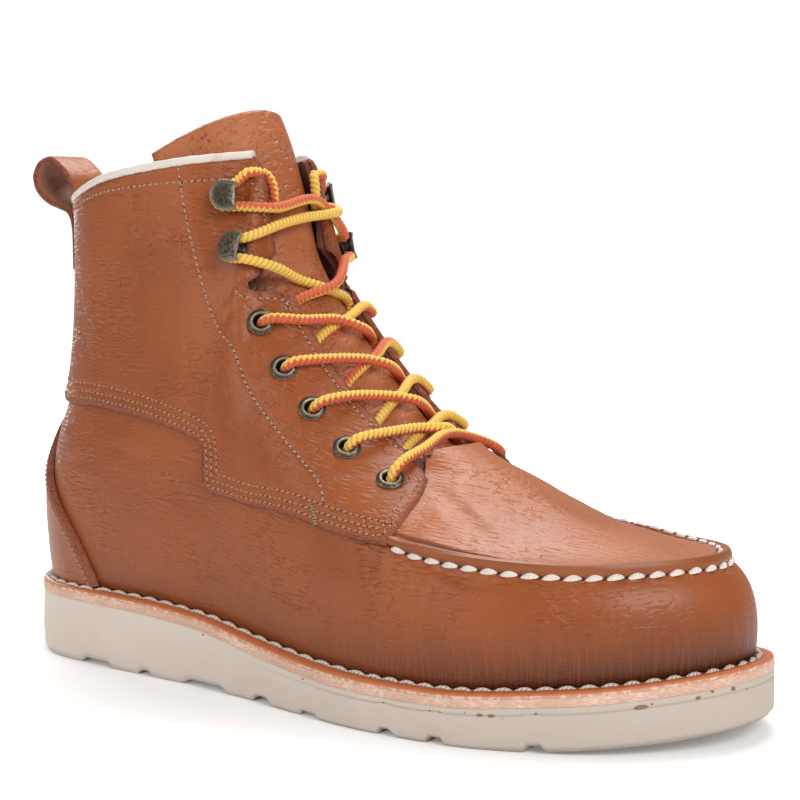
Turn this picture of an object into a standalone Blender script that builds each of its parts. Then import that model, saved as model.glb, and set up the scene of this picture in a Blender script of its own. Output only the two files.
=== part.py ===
"""Moc toe work boot, right foot, as an assembly of separate pieces.

Lengths below are millimetres with x from the back of the sole to the toe,
y towards the inner (medial) side and z up from the floor.  At the end all
pieces are moved so that the origin lies under the middle of the boot and
are scaled to metres.
"""
import math

import bmesh
import bpy
import numpy as np
from mathutils import Vector

# Main sizes
SOLE_LENGTH = 304.0
WELT_THICK = 2.0
MIDSOLE_THICK = 2.2
LAYER_GAP = 0.3
TOE_SPRING = 6.7
SPRING_START = 228.0
UPPER_WALL = 1.9
QUARTER_THICK = 1.8
BACKSTAY_THICK = 2.6
APRON_THICK = 2.6
TONGUE_THICK = 2.4
INSOLE_THICK = 4.5
BINDING_WIDE = 5.2
BINDING_TALL = 3.8
EYELET_HOLE = 2.7
EYELET_BARREL = 3.3
EYELET_FLANGE = 4.9
EYELET_LIFT = 0.8
HOOK_RADIUS = 5.8
HOOK_LIFT = 7.0
LACE_RADIUS = 1.9
LOOP_WIDE = 20.0
LOOP_THICK = 2.4
SHARP_ANGLE = math.radians(35.0)

# Sole outline: place along the sole, half width on each side
OUTLINE = np.array([
    # along, lateral, medial
    (0.0, 0.0, 0.0),
    (14.0, 30.5, 30.0),
    (32.0, 38.5, 37.5),
    (62.0, 42.0, 40.0),
    (100.0, 44.0, 39.0),
    (132.0, 48.0, 41.5),
    (165.0, 54.5, 48.5),
    (195.0, 58.5, 54.0),
    (222.0, 57.5, 57.0),
    (250.0, 50.0, 57.0),
    (273.0, 38.5, 50.5),
    (291.0, 22.0, 39.0),
    (304.0, -9.0, 9.0),
])

# Height of the top of the welt along the sole
WELT_HEIGHT = np.array([
    # along, height
    (-8.0, 29.4),
    (0.0, 29.1),
    (70.0, 28.3),
    (105.0, 26.2),
    (140.0, 21.2),
    (180.0, 17.9),
    (215.0, 17.4),
    (262.0, 20.6),
    (312.0, 27.6),
])

# Width of the ledge between the upper and the edge of the sole
LEDGE = np.array([
    # place, ledge
    (0.0, 7.2),
    (0.15, 6.6),
    (0.35, 6.0),
    (0.6, 6.6),
    (0.8, 6.6),
    (1.0, 6.0),
])

# Side shape of the upper from heel (place 0) to toe (place 1).  Each row is
# one rib from the welt to the rim: lean and rise of the lower arc, where the
# two arcs join, the crest of the toe seam, the rim point and the reach of
# the upper arc as seen from the rim.
RIBS = np.array([
    # place, lean, rise, join, crest, rim_x, rim_y, rim_z, reach_x, reach_y, reach_z
    (0.00, 6.0, 40.0, 0.50, 0.0, 16.5, 0.0, 171.8, 1.5, 0.0, -60.0),
    (0.14, 5.5, 40.0, 0.50, 0.0, 31.0, 25.0, 174.3, 0.0, -2.0, -60.0),
    (0.25, 5.0, 40.0, 0.50, 0.0, 60.0, 35.0, 181.9, 0.0, -3.5, -60.0),
    (0.35, 4.0, 40.0, 0.50, 0.0, 91.0, 31.0, 186.6, 2.0, 3.0, -58.0),
    (0.42, 3.5, 40.0, 0.50, 0.0, 111.0, 14.5, 189.0, 4.0, 19.0, -50.0),
    (0.465, 3.5, 38.0, 0.50, 0.0, 118.5, 15.0, 157.0, 3.0, 19.0, -30.0),
    (0.51, 3.5, 35.0, 0.48, 0.0, 131.0, 17.0, 137.0, 3.0, 18.5, -24.0),
    (0.57, 3.5, 31.0, 0.46, 1.0, 160.0, 18.5, 103.0, 4.0, 19.0, -16.0),
    (0.60, 4.0, 29.0, 0.43, 2.5, 177.0, 18.0, 90.0, 6.0, 20.0, -12.0),
    (0.63, 4.5, 27.0, 0.39, 4.3, 184.5, 15.5, 87.0, 14.0, 20.0, -16.0),
    (0.70, 5.0, 26.0, 0.34, 6.2, 188.0, 10.0, 87.5, 34.0, 20.0, -27.0),
    (0.80, 3.5, 25.0, 0.26, 6.2, 189.5, 5.0, 88.0, 48.0, 11.0, -33.0),
    (1.00, 2.8, 24.0, 0.21, 6.2, 190.0, 0.0, 88.0, 55.0, 0.0, -35.0),
])

# Sideways place of the middle of the throat
THROAT_LINE = np.array([
    # along, shift
    (0.0, 0.0),
    (60.0, 0.0),
    (130.0, 2.0),
    (200.0, 3.5),
    (304.0, 9.0),
])

# Lower edge of the quarters: place round the boot, height on the upper
QUARTER_LOW = np.array([
    # place, level
    (0.049, 0.585),
    (0.20, 0.545),
    (0.317, 0.484),
    (0.385, 0.425),
    (0.401, 0.398),
    (0.407, 0.300),
    (0.418, 0.289),
    (0.528, 0.386),
    (0.573, 0.437),
    (0.6055, 0.476),
])
# Front edge of the quarters: level on the upper, place round the boot
QUARTER_FRONT = np.array([
    # level, place
    (0.40, 0.6000),
    (0.476, 0.6055),
    (0.571, 0.6136),
    (0.712, 0.6230),
    (0.819, 0.6331),
    (0.880, 0.6388),
    (1.0, 0.6440),
])
# Half width of the backstay: level on the upper, place round the boot
BACKSTAY_EDGE = np.array([
    # level, place
    (0.0, 0.265),
    (0.14, 0.222),
    (0.25, 0.160),
    (0.40, 0.082),
    (0.58, 0.047),
    (1.0, 0.045),
])
# Eyelets and hooks: place round the boot, level on the upper
EYELETS = ((0.603, 0.79), (0.571, 0.79), (0.5416, 0.79), (0.5125, 0.795), (0.473, 0.81))
HOOKS = ((0.4231, 0.829), (0.3899, 0.9375))
# Places where the lace from each eyelet passes the edge of the facing
LACE_EDGE = (0.620, 0.588, 0.561, 0.537, 0.513)

# Tongue: outer middle line and section of each row
TONGUE = np.array([
    # mid_x, mid_z, tilt, side, depth, spread
    (199.0, 78.4, 34.0, 33.0, 38.0, 38.0),
    (187.8, 86.2, 37.0, 33.0, 38.0, 50.0),
    (175.4, 92.8, 40.0, 33.0, 38.0, 60.0),
    (161.2, 105.0, 45.0, 33.0, 38.0, 62.0),
    (147.8, 119.4, 50.0, 32.5, 38.0, 60.0),
    (132.6, 136.9, 58.0, 31.5, 38.0, 60.0),
    (120.0, 157.4, 74.0, 30.6, 40.0, 64.0),
    (116.0, 174.8, 84.0, 29.8, 42.0, 76.0),
    (110.6, 192.0, 80.0, 29.6, 42.0, 84.0),
    (106.6, 202.5, 75.0, 29.6, 42.0, 80.0),
    (103.2, 209.5, 72.0, 29.6, 42.0, 78.0),
])
# Drop of the tongue's sides in the last rows
TONGUE_DROP = (0.0, 0.0, 0.0, 0.0, 0.0, 0.0, 0.0, 1.0, 2.5, 4.5, 6.5)

# Pull loop: path in the middle plane
LOOP_PATH = np.array([
    # along, height
    (11.7, 174.8),
    (11.6, 177.5),
    (11.2, 180.0),
    (9.6, 184.4),
    (5.0, 189.4),
    (-1.6, 192.8),
    (-6.9, 191.2),
    (-9.3, 188.2),
    (-10.1, 185.8),
    (-9.3, 182.2),
    (-6.4, 178.6),
    (-1.8, 175.7),
    (3.8, 173.9),
    (8.2, 172.3),
    (10.8, 168.8),
    (11.8, 163.0),
    (12.0, 149.0),
])

# Grooves across the tread: middle along the sole, half length and depth
GROOVES = np.array([
    # along, half, depth
    (51.8, 10.3, 2.2),
    (78.7, 4.0, 2.0),
    (110.3, 13.4, 2.2),
    (141.4, 5.3, 2.4),
    (166.0, 5.2, 1.6),
    (201.4, 3.6, 2.2),
    (220.4, 3.8, 2.2),
    (253.3, 3.6, 1.8),
])
# Notch in the edge of each facing: distance from the throat line and height
NOTCH = np.array([
    # aside, height
    (30.6, 145.0),
    (29.2, 142.8),
    (21.6, 142.7),
    (11.0, 138.8),
    (11.0, 160.0),
    (20.4, 153.2),
    (24.2, 148.8),
    (28.0, 147.3),
])
NOTCH_ALONG = (108.0, 136.0)


def curve(x, table, column=1):
    """Smooth line through one column of a short table, with no overshoot."""
    xs = table[:, 0]
    ys = table[:, column]
    x = np.clip(np.asarray(x, float), xs[0], xs[-1])
    step = np.diff(xs)
    rate = np.diff(ys) / step
    slope = np.zeros(len(xs))
    first = 2 * step[1:] + step[:-1]
    second = step[1:] + 2 * step[:-1]
    same = rate[:-1] * rate[1:] > 0
    safe_a = np.where(same, rate[:-1], 1.0)
    safe_b = np.where(same, rate[1:], 1.0)
    slope[1:-1] = np.where(same, (first + second) / (first / safe_a + second / safe_b), 0.0)
    slope[0] = ((2 * step[0] + step[1]) * rate[0] - step[0] * rate[1]) / (step[0] + step[1])
    slope[-1] = ((2 * step[-1] + step[-2]) * rate[-1] - step[-1] * rate[-2]) / (step[-1] + step[-2])
    if slope[0] * rate[0] <= 0:
        slope[0] = 0.0
    if slope[-1] * rate[-1] <= 0:
        slope[-1] = 0.0
    i = np.clip(np.searchsorted(xs, x, side="right") - 1, 0, len(xs) - 2)
    t = (x - xs[i]) / step[i]
    return ((1 + 2 * t) * (1 - t) ** 2 * ys[i] + t * (1 - t) ** 2 * step[i] * slope[i]
            + t * t * (3 - 2 * t) * ys[i + 1] + t * t * (t - 1) * step[i] * slope[i + 1])


def place_of(x):
    """Place round the boot (0 heel, 1 toe) for a distance along the sole."""
    return np.arccos(np.clip(1 - 2 * np.asarray(x, float) / SOLE_LENGTH, -1, 1)) / math.pi


OUTLINE_PLACE = np.column_stack([place_of(OUTLINE[:, 0]), OUTLINE[:, 1], OUTLINE[:, 2]])


def sides(u):
    """Place from heel to toe and the lateral half, for a loop position u from 0 to 1."""
    u = np.mod(u, 1.0)
    return np.where(u <= 0.5, 2 * u, 2 - 2 * u), u <= 0.5


def loop_of(place, medial):
    """Loop position for a place on one side."""
    return 1 - place / 2 if medial else place / 2


def outline_point(u):
    place, lateral = sides(u)
    x = SOLE_LENGTH * (1 - np.cos(math.pi * place)) / 2
    y = np.where(lateral, -curve(place, OUTLINE_PLACE, 1), curve(place, OUTLINE_PLACE, 2))
    return np.stack([x, y], -1)


def outline(u, inset=0.0):
    """Sole outline moved inwards by a distance, with its outward direction."""
    point = outline_point(u)
    run = outline_point(u + 0.002) - outline_point(u - 0.002)
    out = np.stack([run[..., 1], -run[..., 0]], -1)
    out = out / np.linalg.norm(out, axis=-1, keepdims=True)
    return point - out * np.asarray(inset)[..., None], out


def welt_top(x):
    return curve(x, WELT_HEIGHT)


def floor_line(x):
    """Bottom of the sole: flat, then rising to the toe."""
    rise = np.clip((np.asarray(x, float) - SPRING_START) / (SOLE_LENGTH - SPRING_START), 0, None)
    return TOE_SPRING * rise ** 2


def skin(u, v):
    """Outer face of the upper: u round the boot, v from the welt (0) to the rim (1)."""
    u, v = np.broadcast_arrays(np.asarray(u, float), np.asarray(v, float))
    place, lateral = sides(u)
    sign = np.where(lateral, -1.0, 1.0)
    foot, out = outline(u, curve(place, LEDGE))
    lean, rise, join, crest, rx, ry, rz, hx, hy, hz = [curve(place, RIBS, k) for k in range(1, 11)]
    base = np.stack([foot[..., 0], foot[..., 1], welt_top(foot[..., 0]) + LAYER_GAP], -1)
    wide = base + np.stack([out[..., 0] * lean, out[..., 1] * lean, rise], -1)
    rim = np.stack([rx, curve(rx, THROAT_LINE) + sign * ry, rz], -1)
    reach = rim + np.stack([hx, sign * hy, hz], -1)
    seam = wide + (reach - wide) * join[..., None]
    seam[..., 2] += crest
    a = np.clip(2 * v, 0, 1)[..., None]
    b = np.clip(2 * v - 1, 0, 1)[..., None]
    low = (1 - a) ** 2 * base + 2 * (1 - a) * a * wide + a * a * seam
    top = (1 - b) ** 2 * seam + 2 * (1 - b) * b * reach + b * b * rim
    return np.where((v < 0.5)[..., None], low, top)


def skin_out(u, v):
    """Outward direction of the upper's face."""
    small = 0.001
    across = skin(u + small, v) - skin(u - small, v)
    up = skin(u, np.clip(v + small, 0, 1)) - skin(u, np.clip(v - small, 0, 1))
    out = np.cross(across, up)
    return out / np.linalg.norm(out, axis=-1, keepdims=True)


def layer(u, v, height):
    """Face of the upper moved outwards by a height (inwards when negative)."""
    u, v = np.broadcast_arrays(np.asarray(u, float), np.asarray(v, float))
    return skin(u, v) + skin_out(u, v) * np.asarray(height)[..., None]


def remove_all():
    for item in list(bpy.data.objects):
        bpy.data.objects.remove(item)


def material(name, colour, roughness, metallic=0.0):
    made = bpy.data.materials.new(name)
    made.use_nodes = True
    shader = made.node_tree.nodes["Principled BSDF"]
    shader.inputs["Base Color"].default_value = (*colour, 1.0)
    shader.inputs["Roughness"].default_value = roughness
    shader.inputs["Metallic"].default_value = metallic
    return made


def solid(name, points, faces, finish):
    """One closed body from points and faces, with its faces turned outwards."""
    mesh = bpy.data.meshes.new(name)
    mesh.from_pydata([tuple(p) for p in np.asarray(points)], [], faces)
    work = bmesh.new()
    work.from_mesh(mesh)
    bmesh.ops.recalc_face_normals(work, faces=work.faces)
    work.to_mesh(mesh)
    work.free()
    mesh.shade_smooth()
    mesh.set_sharp_from_angle(angle=SHARP_ANGLE)
    colour, roughness, metallic = finish
    mesh.materials.append(material(name + "_finish", colour, roughness, metallic))
    item = bpy.data.objects.new(name, mesh)
    bpy.context.collection.objects.link(item)
    return item


def sheet(name, inner, outer, finish, ring=False):
    """Solid between two grids of the same shape; ring joins the last column to the first."""
    rows, cols = outer.shape[:2]
    half = rows * cols
    points = np.concatenate([outer.reshape(-1, 3), inner.reshape(-1, 3)])
    faces = []
    last = cols if ring else cols - 1
    for r in range(rows - 1):
        for c in range(last):
            d = (c + 1) % cols
            a, b = r * cols + c, r * cols + d
            e, f = a + cols, b + cols
            faces.append((a, b, f))
            faces.append((a, f, e))
            faces.append((half + a, half + f, half + b))
            faces.append((half + a, half + e, half + f))
    for c in range(last):
        d = (c + 1) % cols
        top = (rows - 1) * cols
        faces.append((c, half + c, half + d, d))
        faces.append((top + c, top + d, half + top + d, half + top + c))
    if not ring:
        for r in range(rows - 1):
            a, e = r * cols, (r + 1) * cols
            faces.append((a, e, half + e, half + a))
            g, h = a + cols - 1, e + cols - 1
            faces.append((g, half + g, half + h, h))
    return solid(name, points, faces, finish)


def plate(name, lateral_top, medial_top, lateral_low, medial_low, finish):
    """Solid across the sole from rows of points that meet at heel and toe."""
    n = len(lateral_top)
    groups = [lateral_top, medial_top[1:-1], lateral_low, medial_low[1:-1]]
    points = np.concatenate(groups)

    def lt(i):
        return i

    def mt(i):
        return i if i in (0, n - 1) else n + i - 1

    def ll(i):
        return 2 * n - 2 + i

    def ml(i):
        return ll(i) if i in (0, n - 1) else 3 * n - 2 + i - 1

    faces = []

    def add(*corner):
        seen = []
        for c in corner:
            if c not in seen:
                seen.append(c)
        if len(seen) > 2:
            faces.append(tuple(seen))

    for i in range(n - 1):
        add(lt(i), lt(i + 1), mt(i + 1), mt(i))
        add(ll(i), ml(i), ml(i + 1), ll(i + 1))
        add(lt(i), ll(i), ll(i + 1), lt(i + 1))
        add(mt(i), mt(i + 1), ml(i + 1), ml(i))
    return solid(name, points, faces, finish)


def turned(name, profile, centre, axis, segments, finish, closed):
    """Body of revolution: profile of (radius, height) about an axis from a centre."""
    axis = Vector(axis).normalized()
    side = axis.orthogonal().normalized()
    other = axis.cross(side)
    points = []
    faces = []
    n = len(profile)
    for k in range(segments):
        angle = 2 * math.pi * k / segments
        ray = side * math.cos(angle) + other * math.sin(angle)
        for radius, height in profile:
            points.append(Vector(centre) + ray * radius + axis * height)
    last = n if closed else n - 1
    for k in range(segments):
        m = (k + 1) % segments
        for i in range(last):
            j = (i + 1) % n
            faces.append((k * n + i, k * n + j, m * n + j, m * n + i))
    if not closed:
        faces.append(tuple(k * n for k in range(segments)))
        faces.append(tuple(k * n + n - 1 for k in range(segments)))
    return solid(name, points, faces, finish)


def rounded(path, count):
    """Even points on a smooth line through a few path points."""
    path = np.asarray(path, float)
    run = np.concatenate([[0.0], np.cumsum(np.linalg.norm(np.diff(path, axis=0), axis=1))])
    at = np.linspace(0, run[-1], count)
    return np.stack([curve(at, np.column_stack([run, path[:, k]])) for k in range(3)], -1)


def tube_mesh(path, radius, count, around):
    """Points and faces of a round cord along a path."""
    line = rounded(path, count)
    ahead = np.gradient(line, axis=0)
    ahead /= np.linalg.norm(ahead, axis=1, keepdims=True)
    side = np.cross(ahead, (0.0, 0.0, 1.0))
    side /= np.linalg.norm(side, axis=1, keepdims=True)
    up = np.cross(side, ahead)
    angle = 2 * math.pi * np.arange(around) / around
    ring = side[:, None] * np.cos(angle)[None, :, None] + up[:, None] * np.sin(angle)[None, :, None]
    points = (line[:, None] + radius * ring).reshape(-1, 3)
    faces = []
    for r in range(count - 1):
        for k in range(around):
            m = (k + 1) % around
            a, b = r * around + k, r * around + m
            faces.append((a, b, b + around, a + around))
    faces.append(tuple(range(around)))
    faces.append(tuple((count - 1) * around + k for k in range(around)))
    return points, faces


def cut(target, cutter):
    change = target.modifiers.new("holes", "BOOLEAN")
    change.operation = "DIFFERENCE"
    change.solver = "EXACT"
    change.object = cutter


LEATHER = ((0.42, 0.15, 0.055), 0.45, 0.0)
DARK_LEATHER = ((0.33, 0.11, 0.045), 0.5, 0.0)
CREAM = ((0.80, 0.73, 0.62), 0.7, 0.0)
RUBBER = ((0.77, 0.70, 0.60), 0.75, 0.0)
WELT_TAN = ((0.60, 0.24, 0.10), 0.55, 0.0)
MIDSOLE_TAN = ((0.66, 0.47, 0.36), 0.8, 0.0)
BRASS = ((0.20, 0.17, 0.12), 0.38, 1.0)
LACE_GOLD = ((0.80, 0.42, 0.06), 0.75, 0.0)


def build_sole():
    """Outsole with tread grooves, midsole, welt ring and insole."""
    edges = np.concatenate([GROOVES[:, 0] - GROOVES[:, 1], GROOVES[:, 0] + GROOVES[:, 1],
                            GROOVES[:, 0] - 0.62 * GROOVES[:, 1], GROOVES[:, 0] + 0.62 * GROOVES[:, 1]])
    edges = place_of(edges)
    even = np.linspace(0, 1, 25)
    apart = np.abs(even[:, None] - edges[None, :]).min(axis=1) > 0.006
    place = np.sort(np.concatenate([even[apart], edges]))
    lateral, _ = outline(place / 2)
    medial, _ = outline(1 - place / 2)
    medial[-1] = lateral[-1]
    medial[0] = lateral[0]
    top_drop = WELT_THICK + LAYER_GAP + MIDSOLE_THICK + LAYER_GAP

    def bottom(x):
        z = floor_line(x)
        for middle, half, depth in GROOVES:
            inside = np.clip((half - np.abs(x - middle)) / (0.38 * half), 0, 1)
            z = z + depth * inside
        return z + 2.0 * np.clip(1 - x / 5.0, 0, 1)

    def rows(points, height):
        return np.column_stack([points, height(points[:, 0])])

    plate("outsole", rows(lateral, lambda x: welt_top(x) - top_drop),
          rows(medial, lambda x: welt_top(x) - top_drop),
          rows(lateral, bottom), rows(medial, bottom), RUBBER)
    even = np.linspace(0, 1, 33)
    lateral, _ = outline(even / 2, np.full(33, 0.2))
    medial, _ = outline(1 - even / 2, np.full(33, 0.2))
    medial[-1] = lateral[-1]
    medial[0] = lateral[0]
    mid_top = WELT_THICK + LAYER_GAP
    plate("midsole", rows(lateral, lambda x: welt_top(x) - mid_top),
          rows(medial, lambda x: welt_top(x) - mid_top),
          rows(lateral, lambda x: welt_top(x) - mid_top - MIDSOLE_THICK),
          rows(medial, lambda x: welt_top(x) - mid_top - MIDSOLE_THICK), MIDSOLE_TAN)
    u = np.arange(64) / 64
    where, _ = sides(u)
    ledge = curve(where, LEDGE)
    outer, _ = outline(u, np.full(64, 0.4))
    inner, _ = outline(u, ledge + UPPER_WALL + 1.6)
    top = np.stack([rows(inner, welt_top), rows(outer, welt_top)])
    low = top - (0.0, 0.0, WELT_THICK)
    sheet("welt", low, top, WELT_TAN, ring=True)
    inset = curve(even, LEDGE) + UPPER_WALL + 2.1
    lateral, _ = outline(even / 2, inset)
    medial, _ = outline(1 - even / 2, inset)
    medial[-1] = lateral[-1]
    medial[0] = lateral[0]
    sole_top = mid_top - LAYER_GAP
    plate("insole", rows(lateral, lambda x: welt_top(x) - sole_top + INSOLE_THICK),
          rows(medial, lambda x: welt_top(x) - sole_top + INSOLE_THICK),
          rows(lateral, lambda x: welt_top(x) - sole_top),
          rows(medial, lambda x: welt_top(x) - sole_top), DARK_LEATHER)


GRID_PLACE = np.array([0.0, 0.05, 0.10, 0.15, 0.20, 0.25, 0.30, 0.345, 0.385, 0.42, 0.445, 0.47, 0.50,
                       0.53, 0.56, 0.59, 0.62, 0.65, 0.69, 0.73, 0.77, 0.81, 0.85, 0.90, 0.95, 1.0])
GRID_V = np.concatenate([np.linspace(0, 0.5, 5), np.linspace(0.5, 1, 7)[1:]])


def build_upper():
    """Hollow upper, open at the collar, along the throat and underneath."""
    loop = np.concatenate([GRID_PLACE / 2, 1 - GRID_PLACE[-2:0:-1] / 2])
    grid_u, grid_v = np.meshgrid(loop, GRID_V)
    outer = skin(grid_u, grid_v)
    inner = layer(grid_u, grid_v, np.full(grid_u.shape, -UPPER_WALL))
    inner[0, :, 2] = outer[0, :, 2]
    inner[-1, :, 2] = np.minimum(inner[-1, :, 2], outer[-1, :, 2] + 0.2)
    return sheet("upper", inner, outer, LEATHER, ring=True)


def overlay(name, columns, thick, u, v):
    """Piece on the upper: a layer of the upper's own grid, cut to a patch of places and levels.

    columns are loop positions of the grid that surely hold the patch.
    """
    grid_u, grid_v = np.meshgrid(columns, GRID_V)
    low = layer(grid_u, grid_v, np.full(grid_u.shape, LAYER_GAP))
    high = layer(grid_u, grid_v, np.full(grid_u.shape, LAYER_GAP + thick))
    piece = sheet(name, low, high, LEATHER)
    block = sheet(name + "_patch", layer(u, v, np.full(u.shape, -1.5)),
                  layer(u, v, np.full(u.shape, thick + 2.5)), LEATHER)
    block.hide_render = True
    block.display_type = "WIRE"
    change = piece.modifiers.new("patch", "BOOLEAN")
    change.operation = "INTERSECT"
    change.solver = "EXACT"
    change.object = block
    return piece


def build_quarter(name, medial):
    """Quarter with a stepped low edge and a rounded front, up to the rim."""
    columns = np.concatenate([np.linspace(0.049, 0.385, 8), (0.4005, 0.4075),
                              np.linspace(0.425, 0.6055, 9)])
    share = np.linspace(0, 1, 6)
    low = curve(columns, QUARTER_LOW)
    high_table = np.array([(0.0, 1.0), (0.55, 1.0), (0.575, 0.995), (0.6055, 0.88)])
    high = curve(columns, high_table)
    level = low[None, :] + share[:, None] * (high - low)[None, :]
    pull = np.clip((columns - 0.55) / (0.6055 - 0.55), 0, 1) ** 2
    place = columns[None, :] + pull[None, :] * (curve(level, QUARTER_FRONT) - 0.6055)
    u = loop_of(place, medial)
    if medial:
        return overlay(name, 1 - GRID_PLACE[18::-1] / 2, QUARTER_THICK, u[:, ::-1], level[:, ::-1])
    return overlay(name, GRID_PLACE[0:19] / 2, QUARTER_THICK, u, level)


def build_backstay():
    level = np.array([0.005, 0.08, 0.16, 0.25, 0.34, 0.44, 0.55, 0.7, 0.85, 1.0])
    across = np.linspace(-1, 1, 13)
    half = curve(level, BACKSTAY_EDGE)
    place = (half - 0.0025)[:, None] * across[None, :] / 2
    v = np.repeat(level[:, None], 13, axis=1)
    columns = np.concatenate([-GRID_PLACE[6:0:-1], GRID_PLACE[:7]]) / 2
    return overlay("backstay", columns, BACKSTAY_THICK, place, v)


def build_apron():
    """Raised toe plug from the seam to the throat, between the fronts of the quarters."""
    half = np.concatenate([np.linspace(0.6055, 0.69, 6), GRID_PLACE[19:]])
    share = np.linspace(0, 1, 7)
    top_table = np.array([(0.6, 0.88), (0.6055, 0.88), (0.655, 1.0), (0.7, 1.0), (1.0, 1.0)])
    top = curve(half, top_table)
    level = 0.5 + share[:, None] * (top - 0.5)[None, :]
    level[-1] -= 0.01
    level = np.concatenate([np.full((1, len(half)), 0.485), level])
    pull = np.clip((0.69 - half) / (0.69 - 0.6055), 0, 1) ** 1.5
    place = half[None, :] + pull[None, :] * (curve(level, QUARTER_FRONT) - 0.6055 + 0.0016)
    u = np.concatenate([place / 2, (1 - place / 2)[:, ::-1][:, 1:]], axis=1)
    v = np.concatenate([level, level[:, ::-1][:, 1:]], axis=1)
    columns = np.concatenate([GRID_PLACE[14:] / 2, 1 - GRID_PLACE[-2:13:-1] / 2])
    return overlay("apron", columns, APRON_THICK, u, v)


def tongue_face(inward):
    """Face of the tongue moved inwards by a distance: rows up the tongue, columns across it."""
    across = np.linspace(-1, 1, 11)
    rows = []
    for k, (mx, mz, tilt, side, depth, spread) in enumerate(TONGUE):
        angle = np.radians(spread) * across
        y = (side - inward) * np.sin(angle)
        d = inward + (depth - inward) * (1 - np.cos(angle))
        back = np.array([-math.sin(math.radians(tilt)), -math.cos(math.radians(tilt))])
        x = mx + back[0] * d
        z = mz + back[1] * d - TONGUE_DROP[k] * across ** 2
        middle = float(curve(mx, THROAT_LINE)) * (1 - 0.6 * across ** 2)
        rows.append(np.column_stack([x, middle + y, z]))
    return np.stack(rows)


def build_tongue():
    return sheet("tongue", tongue_face(TONGUE_THICK), tongue_face(0.0), LEATHER)


def build_binding():
    """Strip over the collar edge, from one throat corner round the back to the other."""
    place = np.concatenate([np.linspace(0.408, 0.06, 15), [0.0], -np.linspace(0.06, 0.408, 15)])
    u = place / 2
    rim = skin(u, np.ones(31))
    out = skin_out(u, np.ones(31))
    out[:, 2] = 0
    out /= np.linalg.norm(out, axis=1, keepdims=True)
    middle = rim + out * 0.2 + (0.0, 0.0, LAYER_GAP + 0.5)
    half = BINDING_WIDE / 2
    bend = 0.62 * half
    section = [(half, 0.0), (half, 0.72), (bend, 1.0), (-bend, 1.0), (-half, 0.72), (-half, 0.0)]
    n = len(section)
    points = np.concatenate([middle + out * a + (0.0, 0.0, BINDING_TALL * b) for a, b in section])
    faces = []
    for i in range(n):
        j = (i + 1) % n
        for k in range(30):
            faces.append((i * 31 + k, i * 31 + k + 1, j * 31 + k + 1, j * 31 + k))
    faces.append(tuple(i * 31 for i in range(n)))
    faces.append(tuple(i * 31 + 30 for i in range(n)))
    return solid("collar_binding", points, faces, CREAM)


def build_pull_loop():
    path = rounded(np.column_stack([LOOP_PATH[:, 0], np.zeros(len(LOOP_PATH)), LOOP_PATH[:, 1]]), 34)
    ahead = np.gradient(path, axis=0)
    ahead /= np.linalg.norm(ahead, axis=1, keepdims=True)
    out = np.column_stack([-ahead[:, 2], np.zeros(34), ahead[:, 0]])
    faces_at = []
    for offset in (-LOOP_THICK / 2, LOOP_THICK / 2):
        rows = [path + out * offset + (0.0, LOOP_WIDE * s, 0.0) for s in (-0.5, 0.5)]
        faces_at.append(np.stack(rows))
    return sheet("pull_loop", faces_at[0], faces_at[1], LEATHER)


def fastener_spots(medial):
    """Centre on the upper's face and outward direction of each eyelet and hook of a side."""
    found = []
    for place, level in EYELETS + HOOKS:
        u = np.array([loop_of(place, medial)])
        v = np.array([level])
        found.append((skin(u, v)[0], skin_out(u, v)[0]))
    return found


def seat(place, level, medial, centre, out, radius):
    """Height at which a flat flange of a radius clears the quarter under it."""
    du, dv = np.meshgrid(np.linspace(-0.03, 0.03, 25), np.linspace(-0.09, 0.09, 25))
    u = loop_of(place, medial) + du
    v = np.clip(level + dv, 0, 1)
    away = layer(u, v, np.full(u.shape, LAYER_GAP + QUARTER_THICK)) - centre
    height = away @ out
    aside = np.linalg.norm(away - height[..., None] * out, axis=-1)
    return float(height[aside < radius + 0.5].max()) + 0.75


def add_notch(points, faces, medial):
    """Block through one facing in the shape of the notch in its edge."""
    first = len(points)
    count = len(NOTCH)
    middle = float(curve(sum(NOTCH_ALONG) / 2, THROAT_LINE))
    for along in NOTCH_ALONG:
        for aside, height in NOTCH:
            points.append(Vector((along, middle + (aside if medial else -aside), height)))
    for m in range(count):
        p = (m + 1) % count
        faces.append((first + m, first + p, first + count + p, first + count + m))
    faces.append(tuple(first + m for m in range(count)))
    faces.append(tuple(first + count + m for m in range(count)))


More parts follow.
